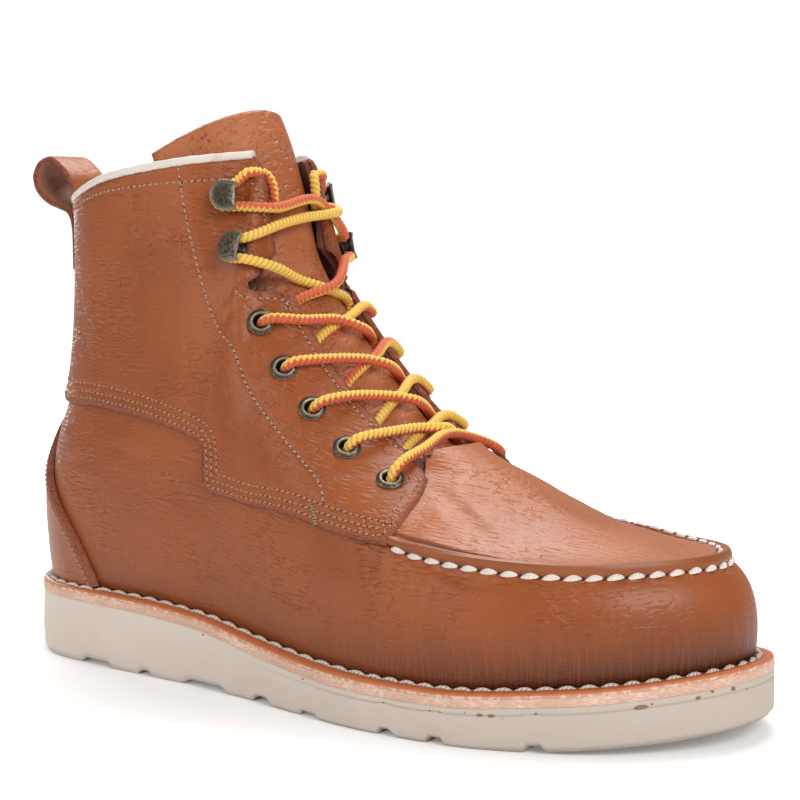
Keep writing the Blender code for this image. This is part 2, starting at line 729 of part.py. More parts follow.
def build_fasteners():
    """Eyelet rings, hooks and the body that cuts the eyelet holes and the notches."""
    inside = -UPPER_WALL - 0.2
    hole_points = []
    hole_faces = []
    for medial in (False, True):
        label = "medial" if medial else "lateral"
        for k, (centre, out) in enumerate(fastener_spots(medial)):
            spot = (EYELETS + HOOKS)[k]
            at = seat(*spot, medial, centre, out, EYELET_FLANGE if k < len(EYELETS) else 4.2)
            if k < len(EYELETS):
                ring = [(EYELET_HOLE, inside), (EYELET_BARREL, inside), (EYELET_BARREL, at),
                        (EYELET_FLANGE, at), (EYELET_FLANGE - 0.5, at + EYELET_LIFT),
                        (EYELET_HOLE + 0.5, at + EYELET_LIFT)]
                turned(f"eyelet_{label}_{k + 1}", ring, centre, out, 8, BRASS, True)
                axis = Vector(out)
                side = axis.orthogonal().normalized()
                other = axis.cross(side)
                first = len(hole_points)
                for height in (-8.0, 8.0):
                    for m in range(8):
                        angle = 2 * math.pi * m / 8
                        ray = side * math.cos(angle) + other * math.sin(angle)
                        hole_points.append(Vector(centre) + axis * height + ray * (EYELET_BARREL + 0.6))
                for m in range(8):
                    p = (m + 1) % 8
                    hole_faces.append((first + m, first + p, first + 8 + p, first + 8 + m))
                hole_faces.append(tuple(first + m for m in range(8)))
                hole_faces.append(tuple(first + 8 + m for m in range(8)))
            else:
                hook = [(3.4, at), (3.4, at + 0.5), (2.0, at + 0.9), (2.0, at + HOOK_LIFT - 1.7),
                        (HOOK_RADIUS, at + HOOK_LIFT - 1.1), (HOOK_RADIUS, at + HOOK_LIFT - 0.4),
                        (2.6, at + HOOK_LIFT)]
                turned(f"hook_{label}_{k + 1 - len(EYELETS)}", hook, centre, out, 8, BRASS, False)
        add_notch(hole_points, hole_faces, medial)
    holes = solid("eyelet_holes", hole_points, hole_faces, BRASS)
    holes.hide_render = True
    holes.display_type = "WIRE"
    return holes


def over_tongue(x_share, side_share):
    """Point on the tongue's outer face: share of the rows up it, sideways distance."""
    rows = np.arange(len(TONGUE), dtype=float)
    values = [curve(x_share, np.column_stack([rows, TONGUE[:, k]])) for k in range(5)]
    mx, mz, tilt, side, depth = [float(a) for a in values]
    angle = math.asin(max(-0.95, min(0.95, side_share / side)))
    d = depth * (1 - math.cos(angle))
    tilt = math.radians(tilt)
    point = np.array([mx - math.sin(tilt) * d, float(curve(mx, THROAT_LINE)) + side_share,
                      mz - math.cos(tilt) * d])
    out = np.array([math.sin(tilt), 0.0, math.cos(tilt)])
    return point, out


def row_near(point):
    """Row on the tongue whose middle is level with a point of the facing."""
    rows = np.arange(len(TONGUE), dtype=float)
    fine = np.linspace(0, len(TONGUE) - 1, 201)
    mx = curve(fine, np.column_stack([rows, TONGUE[:, 0]]))
    mz = curve(fine, np.column_stack([rows, TONGUE[:, 1]]))
    return float(fine[np.argmin((mx - point[0]) ** 2 + (mz - point[2]) ** 2)])


def over_facing(place, level, medial, height):
    u = np.array([loop_of(place, medial)])
    return layer(u, np.array([level]), np.array([height]))[0]


def above(index, medial):
    """Height over the upper's face of a lace lying on the flange of an eyelet."""
    spot = EYELETS[index]
    centre, out = fastener_spots(medial)[index]
    return seat(*spot, medial, centre, out, EYELET_FLANGE) + EYELET_LIFT + LACE_RADIUS + LAYER_GAP


def under_facing(place, medial):
    """Row of the tongue where a lace comes out from under a facing, and the sign of that side."""
    row = row_near(over_facing(place, 1.0, medial, 0.0)) + 0.28
    return row, 1.0 if medial else -1.0


def strand(index, from_medial):
    """Path of one lace strand from under one facing to the next eyelet of the other side."""
    high = EYELETS[index + 1]
    edge = LACE_EDGE[index + 1]
    row, sign = under_facing(LACE_EDGE[index], from_medial)
    end_row = row_near(over_facing(edge, 1.0, not from_medial, 0.0))
    lift = LACE_RADIUS + 0.5
    points = []
    steps = ((0.0, 10.5, 0.0), (0.28, 5.0, 0.7), (0.55, 0.0, 1.6), (0.8, -7.0, 3.0))
    for part, sideways, more in steps:
        spot, out = over_tongue(row + part * (end_row - row), sign * sideways)
        points.append(spot + out * (lift + more))
    height = above(index + 1, not from_medial)
    for share, level in ((1.0, 0.985), (0.55, 0.90), (0.0, high[1] + 0.012)):
        place = high[0] + share * (edge - high[0])
        points.append(over_facing(place, level, not from_medial, height))
    return points


def hook_point(index, medial, forward, up):
    """Point beside the post of a hook, under its plate."""
    place, level = HOOKS[index]
    centre, out = fastener_spots(medial)[len(EYELETS) + index]
    at = seat(place, level, medial, centre, out, 4.2)
    pair = np.array([loop_of(place, medial), loop_of(place + 0.004, medial)])
    ahead = np.diff(skin(pair, np.full(2, level)), axis=0)[0]
    ahead = ahead / np.linalg.norm(ahead)
    rise = np.array([0.0, 0.0, 1.0]) - out * out[2]
    rise = rise / np.linalg.norm(rise)
    clear = 2.0 + LACE_RADIUS + 0.7
    return centre + out * (at + 0.9 + LACE_RADIUS + 0.6) + clear * (ahead * forward + rise * up)


def hook_strand(from_medial):
    """Path from under the facing at the top eyelet to the low hook of the other side."""
    row, sign = under_facing(LACE_EDGE[-1], from_medial)
    lift = LACE_RADIUS + 0.9
    points = []
    steps = ((0.0, 9.0, 0.0), (0.22, 4.0, 0.8), (0.42, 0.0, 1.8), (0.6, -6.0, 3.0))
    for more_row, sideways, more in steps:
        spot, out = over_tongue(row + more_row, sign * sideways)
        points.append(spot + out * (lift + more))
    outer = LAYER_GAP + QUARTER_THICK + LACE_RADIUS
    points.append(over_facing(0.472, 0.975, not from_medial, outer + 1.4))
    points.append(hook_point(0, not from_medial, 0.75, -0.66))
    return points


def top_strand(from_medial):
    """Path from the low hook of one side to the high hook of the other."""
    sign = 1.0 if from_medial else -1.0
    outer = LAYER_GAP + QUARTER_THICK + LACE_RADIUS
    points = [hook_point(0, from_medial, 0.95, 0.80)]
    points.append(over_facing(0.457, 0.975, from_medial, outer + 2.2))
    for row, sideways in ((6.75, 6.0), (6.95, -6.0)):
        spot, out = over_tongue(row, sign * sideways)
        points.append(spot + out * (LACE_RADIUS + 4.6))
    points.append(over_facing(0.447, 0.975, not from_medial, outer + 1.6))
    points.append(hook_point(1, not from_medial, 0.75, -0.66))
    return points


def end_cord(medial):
    """Path of a lace end: up from the high hook, over the facing and down beside the tongue."""
    outer = LAYER_GAP + QUARTER_THICK + LACE_RADIUS
    sign = 1.0 if medial else -1.0
    points = [hook_point(1, medial, 0.2, 0.98)]
    points.append(over_facing(0.400, 0.975, medial, outer + 2.0))
    points.append(over_facing(0.412, 0.990, medial, outer + 3.0))
    spot, out = over_tongue(8.05, sign * 9.5)
    points.append(spot + out * (LACE_RADIUS + 5.0))
    spot, out = over_tongue(7.75, sign * 8.0)
    points.append(spot + out * (LACE_RADIUS + 2.0))
    return points


def joined_cords(name, paths, count):
    """Two cords that cross, made into one body."""
    points, faces = tube_mesh(paths[0], LACE_RADIUS, count, 6)
    first = solid(name, points, faces, LACE_GOLD)
    points, faces = tube_mesh(paths[1], LACE_RADIUS, count, 6)
    second = solid(name + "_second", points, faces, LACE_GOLD)
    second.hide_render = True
    second.display_type = "WIRE"
    change = first.modifiers.new("join", "BOOLEAN")
    change.operation = "UNION"
    change.solver = "EXACT"
    change.object = second
    return first


def build_laces():
    """Bar at the toe end, crossings between eyelets and hooks, and the two tucked ends."""
    low = EYELETS[0]
    bar = []
    reach = LACE_EDGE[0] - low[0]
    for medial, steps in ((False, (0.0, 0.7)), (True, (0.7, 0.0))):
        for share in steps:
            place = low[0] + share * reach
            bar.append(over_facing(place, 0.80 + 0.17 * share, medial, above(0, medial)))
    mid, out = over_tongue(1.45, 0.0)
    bar.insert(2, mid + out * (LACE_RADIUS + 3.6))
    points, faces = tube_mesh(bar, LACE_RADIUS, 10, 6)
    solid("lace_bar", points, faces, LACE_GOLD)
    for k in range(4):
        joined_cords(f"lace_cross_{k + 1}", [strand(k, False), strand(k, True)], 8)
    joined_cords("lace_cross_5", [hook_strand(False), hook_strand(True)], 8)
    joined_cords("lace_cross_6", [top_strand(False), top_strand(True)], 8)
    for medial in (False, True):
        points, faces = tube_mesh(end_cord(medial), LACE_RADIUS, 9, 6)
        solid("lace_end_medial" if medial else "lace_end_lateral", points, faces, LACE_GOLD)


def finish_frame():
    """Put the origin under the middle of the boot, on the floor, and change to metres."""
    boxes = []
    for item in bpy.data.objects:
        if item.hide_render or item.name.startswith("lace_end"):
            continue
        boxes.append(np.array([v.co[:] for v in item.data.vertices]))
    every = np.concatenate(boxes)
    low, high = every.min(axis=0), every.max(axis=0)
    move = Vector((-(low[0] + high[0]) / 2, -(low[1] + high[1]) / 2, -low[2]))
    for item in bpy.data.objects:
        for vertex in item.data.vertices:
            vertex.co = (vertex.co + move) * 0.001


def main():
    remove_all()
    build_sole()
    upper = build_upper()
    quarters = [build_quarter("quarter_lateral", False), build_quarter("quarter_medial", True)]
    build_backstay()
    build_apron()
    build_tongue()
    build_binding()
    build_pull_loop()
    holes = build_fasteners()
    for item in [upper] + quarters:
        cut(item, holes)
    build_laces()
    finish_frame()


main()
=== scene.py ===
"""Looks of the moc toe work boot.

Shapes are worked out in millimetres in the boot's own lines: x runs from the back of the
sole to the toe, y to the inner (medial) side and z up from the floor.  They are then put
into the frame in metres.
"""
import math

import bmesh
import bpy
import numpy as np
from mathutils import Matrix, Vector


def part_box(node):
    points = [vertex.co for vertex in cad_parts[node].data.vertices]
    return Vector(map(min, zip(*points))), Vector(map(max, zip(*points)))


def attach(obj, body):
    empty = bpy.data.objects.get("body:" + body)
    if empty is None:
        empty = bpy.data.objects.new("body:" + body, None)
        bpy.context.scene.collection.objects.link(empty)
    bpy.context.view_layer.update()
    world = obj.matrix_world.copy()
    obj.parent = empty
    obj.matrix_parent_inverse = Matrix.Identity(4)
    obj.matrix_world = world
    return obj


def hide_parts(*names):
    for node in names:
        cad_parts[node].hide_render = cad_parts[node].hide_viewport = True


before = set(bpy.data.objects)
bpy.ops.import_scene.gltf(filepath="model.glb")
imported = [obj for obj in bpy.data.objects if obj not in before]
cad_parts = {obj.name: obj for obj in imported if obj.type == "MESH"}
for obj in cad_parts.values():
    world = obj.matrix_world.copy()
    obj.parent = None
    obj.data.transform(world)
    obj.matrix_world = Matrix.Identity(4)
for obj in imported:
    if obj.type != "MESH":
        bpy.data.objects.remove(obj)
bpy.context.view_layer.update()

# Main sizes in millimetres
SOLE_LENGTH = 304.0
WELT_THICK = 2.0
MIDSOLE_THICK = 2.2
LAYER_GAP = 0.3
TOE_SPRING = 6.7
SPRING_START = 228.0
UPPER_WALL = 1.9
QUARTER_THICK = 1.8
BACKSTAY_THICK = 2.6
APRON_THICK = 2.6
TONGUE_THICK = 2.4
BINDING_WIDE = 5.2
BINDING_TALL = 3.3
BINDING_ENDS = (0.413, 0.388)
COLLAR_STAND = 2.0
EYELET_HOLE = 2.7
EYELET_BARREL = 3.3
EYELET_FLANGE = 4.9
EYELET_LIFT = 0.8
HOOK_RADIUS = 5.8
HOOK_LIFT = 7.0
LACE_RADIUS = 1.9
BRAID_PITCH = 1.9
BRAID_AROUND = 14
LOOP_WIDE = 20.0
LOOP_THICK = 2.4
MM = 0.001
# Heights of the panels' faces over the upper's face, and the radius of their cut edges
QUARTER_TOP = LAYER_GAP + QUARTER_THICK
BACKSTAY_TOP = LAYER_GAP + BACKSTAY_THICK
EDGE_RADIUS = 1.5
# Holes in the leather round the eyelets' barrels, and the hooks' feet
HOLE_CUT = EYELET_BARREL + 0.5
HOOK_FOOT = 4.2
EYELET_SEGMENTS = 40
HOOK_SEGMENTS = 56
SOLE_STATIONS = 280
SHARP_ANGLE = 48.0
SIDES = ("lateral", "medial")
# Level of the toe seam on the upper
LIP_LEVEL = 0.487
# Stitches: pitch, share of it that is covered, width, lift, slant and roundness of the ends
PANEL_STITCH = (2.5, 0.88, 0.90, 0.40, 0.14)
TACK_STITCH = (1.1, 0.95, 1.7, 0.35, 0.14)
SEAM_STITCH = (6.9, 0.98, 2.5, 0.80, 0.45, 0.80)
INNER_SEAM_STITCH = (6.9, 0.90, 1.7, 0.55, 0.2, 0.8)
WELT_STITCH = (1.02, 1.95, 0.85, 0.50, 0.6)
# Runs of the welt's stitches: first and last loop position and pitch
WELT_RUNS = ((-0.29, 0.29, 8.4), (0.29, 0.71, 6.9))
# Radius of the painted shade discs at the thread holes
PANEL_HOLE = 0.38
BACKSTAY_HOLE = 0.34
SEAM_HOLE = 0.60

# Photo camera: angles in degrees, distance and target in millimetres, focal length in pixels
CAMERA_AZIMUTH = 36.41
CAMERA_ELEVATION = 5.12
CAMERA_DISTANCE = 700.2
CAMERA_TARGET = (165.6, 0.0, 104.3)
FOCAL_PIXELS = 1960.7
IMAGE_PIXELS = 800.0
SENSOR = 36.0

AZIMUTH = math.radians(CAMERA_AZIMUTH)
ELEVATION = math.radians(CAMERA_ELEVATION)
VIEWED_FROM = np.array((math.sin(AZIMUTH) * math.cos(ELEVATION), -math.cos(AZIMUTH) * math.cos(ELEVATION),
                        math.sin(ELEVATION)))
# Lamps: place in metres, size and power
LAMPS = (
    ("key", (1.00, -0.45, 0.75), 0.7, 8.5),
    ("fill", (-0.40, -1.10, 0.60), 0.8, 4.0),
    ("top", (-0.20, 0.45, 1.10), 0.9, 12.0),
    ("rim", (-0.95, 0.40, 0.45), 0.6, 4.5),
)
LAMP_AIM = (0.02, 0.0, 0.08)
FLOOR_REACH = 4.0

# Sole outline: place along the sole, half width on each side
OUTLINE = np.array([
    # along, lateral, medial
    (0.0, 0.0, 0.0),
    (14.0, 30.5, 30.0),
    (32.0, 38.5, 37.5),
    (62.0, 42.0, 40.0),
    (100.0, 44.0, 39.0),
    (132.0, 48.0, 41.5),
    (165.0, 54.5, 48.5),
    (195.0, 58.5, 54.0),
    (222.0, 57.5, 57.0),
    (250.0, 50.0, 57.0),
    (273.0, 38.5, 50.5),
    (291.0, 22.0, 39.0),
    (304.0, -9.0, 9.0),
])
# Height of the top of the welt along the sole
WELT_HEIGHT = np.array([
    # along, height
    (-8.0, 29.4),
    (0.0, 29.1),
    (70.0, 28.3),
    (105.0, 26.2),
    (140.0, 21.2),
    (180.0, 17.9),
    (215.0, 17.4),
    (262.0, 20.6),
    (312.0, 27.6),
])
# Width of the ledge between the upper and the edge of the sole
LEDGE = np.array([
    # place, ledge
    (0.0, 7.2),
    (0.15, 6.6),
    (0.35, 6.0),
    (0.6, 6.6),
    (0.8, 6.6),
    (1.0, 6.0),
])
# Side shape of the upper from heel (place 0) to toe (place 1), one rib in each row
RIBS = np.array([
    # place, lean, rise, join, crest, rim_x, rim_y, rim_z, reach_x, reach_y, reach_z
    (0.00, 6.0, 40.0, 0.50, 0.0, 16.5, 0.0, 171.8, 1.5, 0.0, -60.0),
    (0.14, 5.5, 40.0, 0.50, 0.0, 31.0, 25.0, 174.3, 0.0, -2.0, -60.0),
    (0.25, 5.0, 40.0, 0.50, 0.0, 60.0, 35.0, 181.9, 0.0, -3.5, -60.0),
    (0.35, 4.0, 40.0, 0.50, 0.0, 91.0, 31.0, 186.6, 2.0, 3.0, -58.0),
    (0.42, 3.5, 40.0, 0.50, 0.0, 111.0, 14.5, 189.0, 4.0, 19.0, -50.0),
    (0.465, 3.5, 38.0, 0.50, 0.0, 118.5, 15.0, 157.0, 3.0, 19.0, -30.0),
    (0.51, 3.5, 35.0, 0.48, 0.0, 131.0, 17.0, 137.0, 3.0, 18.5, -24.0),
    (0.57, 3.5, 31.0, 0.46, 1.0, 160.0, 18.5, 103.0, 4.0, 19.0, -16.0),
    (0.60, 4.0, 29.0, 0.43, 2.5, 177.0, 18.0, 90.0, 6.0, 20.0, -12.0),
    (0.63, 4.5, 27.0, 0.39, 4.3, 184.5, 15.5, 87.0, 14.0, 20.0, -16.0),
    (0.70, 5.0, 26.0, 0.34, 6.2, 188.0, 10.0, 87.5, 34.0, 20.0, -27.0),
    (0.80, 3.5, 25.0, 0.26, 6.2, 189.5, 5.0, 88.0, 48.0, 11.0, -33.0),
    (1.00, 2.8, 24.0, 0.21, 6.2, 190.0, 0.0, 88.0, 55.0, 0.0, -35.0),
])
# Sideways place of the middle of the throat
THROAT_LINE = np.array([
    # along, shift
    (0.0, 0.0),
    (60.0, 0.0),
    (130.0, 2.0),
    (200.0, 3.5),
    (304.0, 9.0),
])
# Lower edge of the quarters
QUARTER_LOW = np.array([
    # place, level
    (0.049, 0.585),
    (0.20, 0.545),
    (0.317, 0.484),
    (0.385, 0.425),
    (0.401, 0.398),
    (0.407, 0.300),
    (0.418, 0.289),
    (0.528, 0.386),
    (0.573, 0.437),
    (0.6055, 0.476),
])
# Front edge of the quarters
QUARTER_FRONT = np.array([
    # level, place
    (0.40, 0.6000),
    (0.476, 0.6055),
    (0.571, 0.6136),
    (0.712, 0.6230),
    (0.819, 0.6331),
    (0.880, 0.6388),
    (1.0, 0.6440),
])
QUARTER_CORNER = 0.6055
# Half width of the backstay
BACKSTAY_EDGE = np.array([
    # level, place
    (0.0, 0.265),
    (0.14, 0.222),
    (0.25, 0.160),
    (0.40, 0.082),
    (0.58, 0.047),
    (1.0, 0.045),
])
# Eyelets and hooks: place round the boot, level on the upper
EYELETS = ((0.603, 0.79), (0.571, 0.79), (0.5416, 0.79), (0.5125, 0.795), (0.473, 0.81))
HOOKS = ((0.4231, 0.829), (0.3899, 0.9375))
# Notch in the edge of each facing: distance from the throat line and height
NOTCH = np.array([
    # aside, height
    (30.6, 145.0),
    (29.2, 142.8),
    (21.6, 142.7),
    (11.0, 138.8),
    (11.0, 160.0),
    (20.4, 153.2),
    (24.2, 148.8),
    (28.0, 147.3),
])
NOTCH_MIDDLE = 122.0
# Tongue: outer middle line and section of each row
TONGUE = np.array([
    # mid_x, mid_z, tilt, side, depth, spread, drop
    (199.0, 78.4, 34.0, 33.0, 38.0, 38.0, 0.0),
    (187.8, 86.2, 37.0, 33.0, 38.0, 50.0, 0.0),
    (175.4, 92.8, 40.0, 33.0, 38.0, 60.0, 0.0),
    (161.2, 105.0, 45.0, 33.0, 38.0, 62.0, 0.0),
    (147.8, 119.4, 50.0, 32.5, 38.0, 60.0, 0.0),
    (132.6, 136.9, 58.0, 31.5, 38.0, 60.0, 0.0),
    (120.0, 157.4, 74.0, 30.6, 40.0, 64.0, 0.0),
    (116.0, 174.8, 84.0, 29.8, 42.0, 76.0, 1.0),
    (110.6, 192.0, 80.0, 29.6, 42.0, 84.0, 2.5),
    (106.6, 202.5, 75.0, 29.6, 42.0, 80.0, 4.5),
    (103.2, 209.5, 72.0, 29.6, 42.0, 78.0, 6.5),
])
TONGUE_ROWS = np.column_stack([np.arange(len(TONGUE), dtype=float), TONGUE])
# Pull loop: path in the middle plane
LOOP_PATH = np.array([
    # along, height
    (11.7, 174.8),
    (11.6, 177.5),
    (11.2, 180.0),
    (9.6, 184.4),
    (5.0, 189.4),
    (-1.6, 192.8),
    (-6.9, 191.2),
    (-9.3, 188.2),
    (-10.1, 185.8),
    (-9.3, 182.2),
    (-6.4, 178.6),
    (-1.8, 175.7),
    (3.8, 173.9),
    (8.2, 172.3),
    (10.8, 168.8),
    (11.8, 163.0),
    (12.0, 149.0),
])
# Grooves across the tread
GROOVES = np.array([
    # along, half, depth
    (51.8, 10.3, 2.2),
    (78.7, 4.0, 2.0),
    (110.3, 13.4, 2.2),
    (141.4, 5.3, 2.4),
    (166.0, 5.2, 1.6),
    (201.4, 3.6, 2.2),
    (220.4, 3.8, 2.2),
    (253.3, 3.6, 1.8),
])
# Specks of glue on the side of the sole: loop position, depth under its top, length and height
GLUE_SPECKS = (
    (0.206, 1.0, 1.6, 0.9),
    (0.263, 0.9, 2.2, 0.8),
    (0.268, 1.6, 1.2, 0.7),
    (0.303, 1.4, 2.4, 1.0),
    (0.3235, 1.6, 1.5, 0.9),
    (0.328, 1.7, 1.4, 0.9),
    (0.3385, 1.5, 1.7, 0.9),
    (0.3445, 2.0, 3.4, 1.6),
    (0.3492, 2.3, 3.6, 1.7),
    (0.3675, 1.7, 1.6, 1.0),
    (0.4140, 2.0, 6.4, 1.8),
    (0.4195, 1.5, 1.5, 0.9),
    (0.4450, 1.8, 3.0, 1.5),
    (0.4700, 1.2, 3.2, 2.0),
)
# Main creases: ends on the upper, sideways bow in level, half width and depth
CREASES = np.array([
    # place_a, level_a, place_b, level_b, bow, width, depth
    (0.440, 0.775, 0.395, 0.745, 0.010, 2.2, 0.55),
    (0.438, 0.800, 0.405, 0.800, 0.008, 1.8, 0.40),
    (0.446, 0.755, 0.410, 0.700, 0.010, 2.4, 0.45),
    (0.462, 0.800, 0.435, 0.710, 0.012, 2.0, 0.35),
    (0.470, 0.780, 0.440, 0.660, 0.014, 2.4, 0.40),
    (0.500, 0.770, 0.470, 0.670, 0.012, 2.0, 0.35),
    (0.530, 0.770, 0.500, 0.660, 0.012, 2.0, 0.35),
    (0.558, 0.770, 0.530, 0.650, 0.010, 2.0, 0.30),
    (0.590, 0.770, 0.560, 0.640, 0.010, 2.0, 0.30),
    (0.615, 0.455, 0.690, 0.468, 0.008, 1.9, 0.40),
    (0.622, 0.425, 0.720, 0.440, 0.010, 2.2, 0.45),
    (0.640, 0.395, 0.705, 0.405, 0.012, 2.4, 0.40),
    (0.600, 0.360, 0.660, 0.372, 0.012, 2.6, 0.35),
    (0.560, 0.330, 0.620, 0.345, 0.010, 2.6, 0.30),
    (0.110, 0.420, 0.210, 0.415, 0.010, 2.6, 0.40),
    (0.130, 0.360, 0.250, 0.345, 0.012, 3.0, 0.40),
    (0.160, 0.300, 0.270, 0.270, 0.010, 3.0, 0.30),
    (0.270, 0.380, 0.350, 0.360, 0.010, 2.6, 0.30),
    (0.330, 0.300, 0.420, 0.245, 0.012, 3.0, 0.30),
    (0.640, 0.830, 0.700, 0.760, 0.020, 3.0, 0.35),
    (0.650, 0.780, 0.720, 0.690, 0.020, 3.2, 0.35),
    (0.655, 0.720, 0.730, 0.640, 0.020, 3.2, 0.30),
])
# Stitch rows of the quarter: distances in from its edge
QUARTER_ROWS = (2.5, 4.8, 7.6)
# Stitch row behind the facing, the tack at its foot and the row under the collar
FACING_ROW = np.array([
    # place, level
    (0.3440, 0.997),
    (0.3545, 0.920),
    (0.3690, 0.830),
    (0.3830, 0.757),
    (0.3975, 0.702),
    (0.4130, 0.660),
    (0.4330, 0.634),
    (0.4560, 0.619),
    (0.5040, 0.602),
    (0.5375, 0.588),
    (0.5490, 0.575),
    (0.5535, 0.550),
    (0.5540, 0.510),
])
BARTACK = np.array([
    # place, level
    (0.543, 0.470),
    (0.5435, 0.437),
    (0.544, 0.405),
])
COLLAR_ROW = np.array([
    # place, level
    (0.050, 0.982),
    (0.175, 0.985),
    (0.300, 0.978),
    (0.385, 0.968),
])


def smooth(low, high, value):
    """Soft step from 0 below low to 1 above high."""
    t = np.clip((np.asarray(value, float) - low) / (high - low), 0, 1)
    return t * t * (3 - 2 * t)


def unit(vectors):
    """Vectors made one long."""
    return vectors / np.maximum(np.linalg.norm(vectors, axis=-1, keepdims=True), 1e-9)


def heading(path):
    """Forward direction at each point of a row."""
    return unit(np.gradient(path, axis=0))


def run_of(points):
    """Distance from the first row of points, gathered from row to row."""
    steps = np.cumsum(np.linalg.norm(np.diff(points, axis=0), axis=-1), axis=0)
    return np.concatenate([0 * steps[:1], steps])


def ring_angles(count):
    """Even angles round a ring."""
    return 2 * math.pi * np.arange(count) / count


def curve(x, table, column=1):
    """Smooth line through one column of a table: cubic between rows, slopes never overshoot."""
    xs = table[:, 0]
    ys = table[:, column]
    x = np.clip(np.asarray(x, float), xs[0], xs[-1])
    step = np.diff(xs)
    rate = np.diff(ys) / step
    slope = np.zeros(len(xs))
    first = 2 * step[1:] + step[:-1]
    second = step[1:] + 2 * step[:-1]
    same = rate[:-1] * rate[1:] > 0
    safe_a = np.where(same, rate[:-1], 1.0)
    safe_b = np.where(same, rate[1:], 1.0)
    slope[1:-1] = np.where(same, (first + second) / (first / safe_a + second / safe_b), 0.0)
    slope[0] = ((2 * step[0] + step[1]) * rate[0] - step[0] * rate[1]) / (step[0] + step[1])
    slope[-1] = ((2 * step[-1] + step[-2]) * rate[-1] - step[-1] * rate[-2]) / (step[-1] + step[-2])
    if slope[0] * rate[0] <= 0:
        slope[0] = 0.0
    if slope[-1] * rate[-1] <= 0:
        slope[-1] = 0.0
    i = np.clip(np.searchsorted(xs, x, side="right") - 1, 0, len(xs) - 2)
    t = (x - xs[i]) / step[i]
    return ((1 + 2 * t) * (1 - t) ** 2 * ys[i] + t * (1 - t) ** 2 * step[i] * slope[i]
            + t * t * (3 - 2 * t) * ys[i + 1] + t * t * (t - 1) * step[i] * slope[i + 1])


def place_of(x):
    """Place round the boot (0 heel, 1 toe) for a distance along the sole."""
    return np.arccos(np.clip(1 - 2 * np.asarray(x, float) / SOLE_LENGTH, -1, 1)) / math.pi


OUTLINE_PLACE = np.column_stack([place_of(OUTLINE[:, 0]), OUTLINE[:, 1], OUTLINE[:, 2]])


def sides(u):
    """Place from heel to toe and the lateral half, for a loop position u from 0 to 1."""
    u = np.mod(u, 1.0)
    return np.where(u <= 0.5, 2 * u, 2 - 2 * u), u <= 0.5


def loop_of(place, medial):
    """Loop position for a place on one side."""
    return 1 - np.asarray(place) / 2 if medial else np.asarray(place) / 2


def outline_point(u):
    """Point on the sole outline: half a cosine along, the table's half width across."""
    place, lateral = sides(u)
    x = SOLE_LENGTH * (1 - np.cos(math.pi * place)) / 2
    y = np.where(lateral, -curve(place, OUTLINE_PLACE, 1), curve(place, OUTLINE_PLACE, 2))
    return np.stack([x, y], -1)


def outline(u, inset=0.0):
    """Sole outline moved inwards by a distance, with its outward direction."""
    point = outline_point(u)
    run = outline_point(u + 0.002) - outline_point(u - 0.002)
    out = unit(np.stack([run[..., 1], -run[..., 0]], -1))
    return point - out * np.asarray(inset)[..., None], out


def welt_top(x):
    """Height of the top of the welt."""
    return curve(x, WELT_HEIGHT)


def floor_line(x):
    """Bottom of the sole: flat, then rising with the square of the way to the toe."""
    rise = np.clip((np.asarray(x, float) - SPRING_START) / (SOLE_LENGTH - SPRING_START), 0, None)
    return TOE_SPRING * rise ** 2


def skin(u, v):
    """Outer face of the upper: two arcs from the welt (v 0) to the seam (0.5) and to the rim (1).

    The collar's top stands a little higher, under its tape.
    """
    u, v = np.broadcast_arrays(np.asarray(u, float), np.asarray(v, float))
    place, lateral = sides(u)
    sign = np.where(lateral, -1.0, 1.0)
    foot, out = outline(u, curve(place, LEDGE))
    lean, rise, join, crest, rx, ry, rz, hx, hy, hz = [curve(place, RIBS, k) for k in range(1, 11)]
    base = np.stack([foot[..., 0], foot[..., 1], welt_top(foot[..., 0]) + LAYER_GAP], -1)
    wide = base + np.stack([out[..., 0] * lean, out[..., 1] * lean, rise], -1)
    rim = np.stack([rx, curve(rx, THROAT_LINE) + sign * ry, rz], -1)
    reach = rim + np.stack([hx, sign * hy, hz], -1)
    seam = wide + (reach - wide) * join[..., None]
    seam[..., 2] += crest
    a = np.clip(2 * v, 0, 1)[..., None]
    b = np.clip(2 * v - 1, 0, 1)[..., None]
    low = (1 - a) ** 2 * base + 2 * (1 - a) * a * wide + a * a * seam
    top = (1 - b) ** 2 * seam + 2 * (1 - b) * b * reach + b * b * rim
    top[..., 2] += COLLAR_STAND * smooth(0.90, 1.0, v) * (1 - smooth(0.414, 0.430, place))
    return np.where((v < 0.5)[..., None], low, top)


def skin_out(u, v):
    """Outward direction of the upper's face, from its slopes along u and v."""
    small = 0.001
    across = skin(u + small, v) - skin(u - small, v)
    up = skin(u, np.clip(v + small, 0, 1)) - skin(u, np.clip(v - small, 0, 1))
    return unit(np.cross(across, up))


def layer(u, v, height):
    """Face of the upper moved outwards by a height (inwards when negative)."""
    u, v = np.broadcast_arrays(np.asarray(u, float), np.asarray(v, float))
    height = np.broadcast_to(np.asarray(height, float), u.shape)
    return skin(u, v) + skin_out(u, v) * height[..., None]


SOLE_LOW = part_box("outsole")[0]
SHIFT = np.array([SOLE_LOW.x * 1000, SOLE_LOW.y * 1000 + OUTLINE[:, 1].max(), 0.0])


def to_frame(points):
    """Boot millimetres to frame metres."""
    return (np.asarray(points, float) + SHIFT) * MM


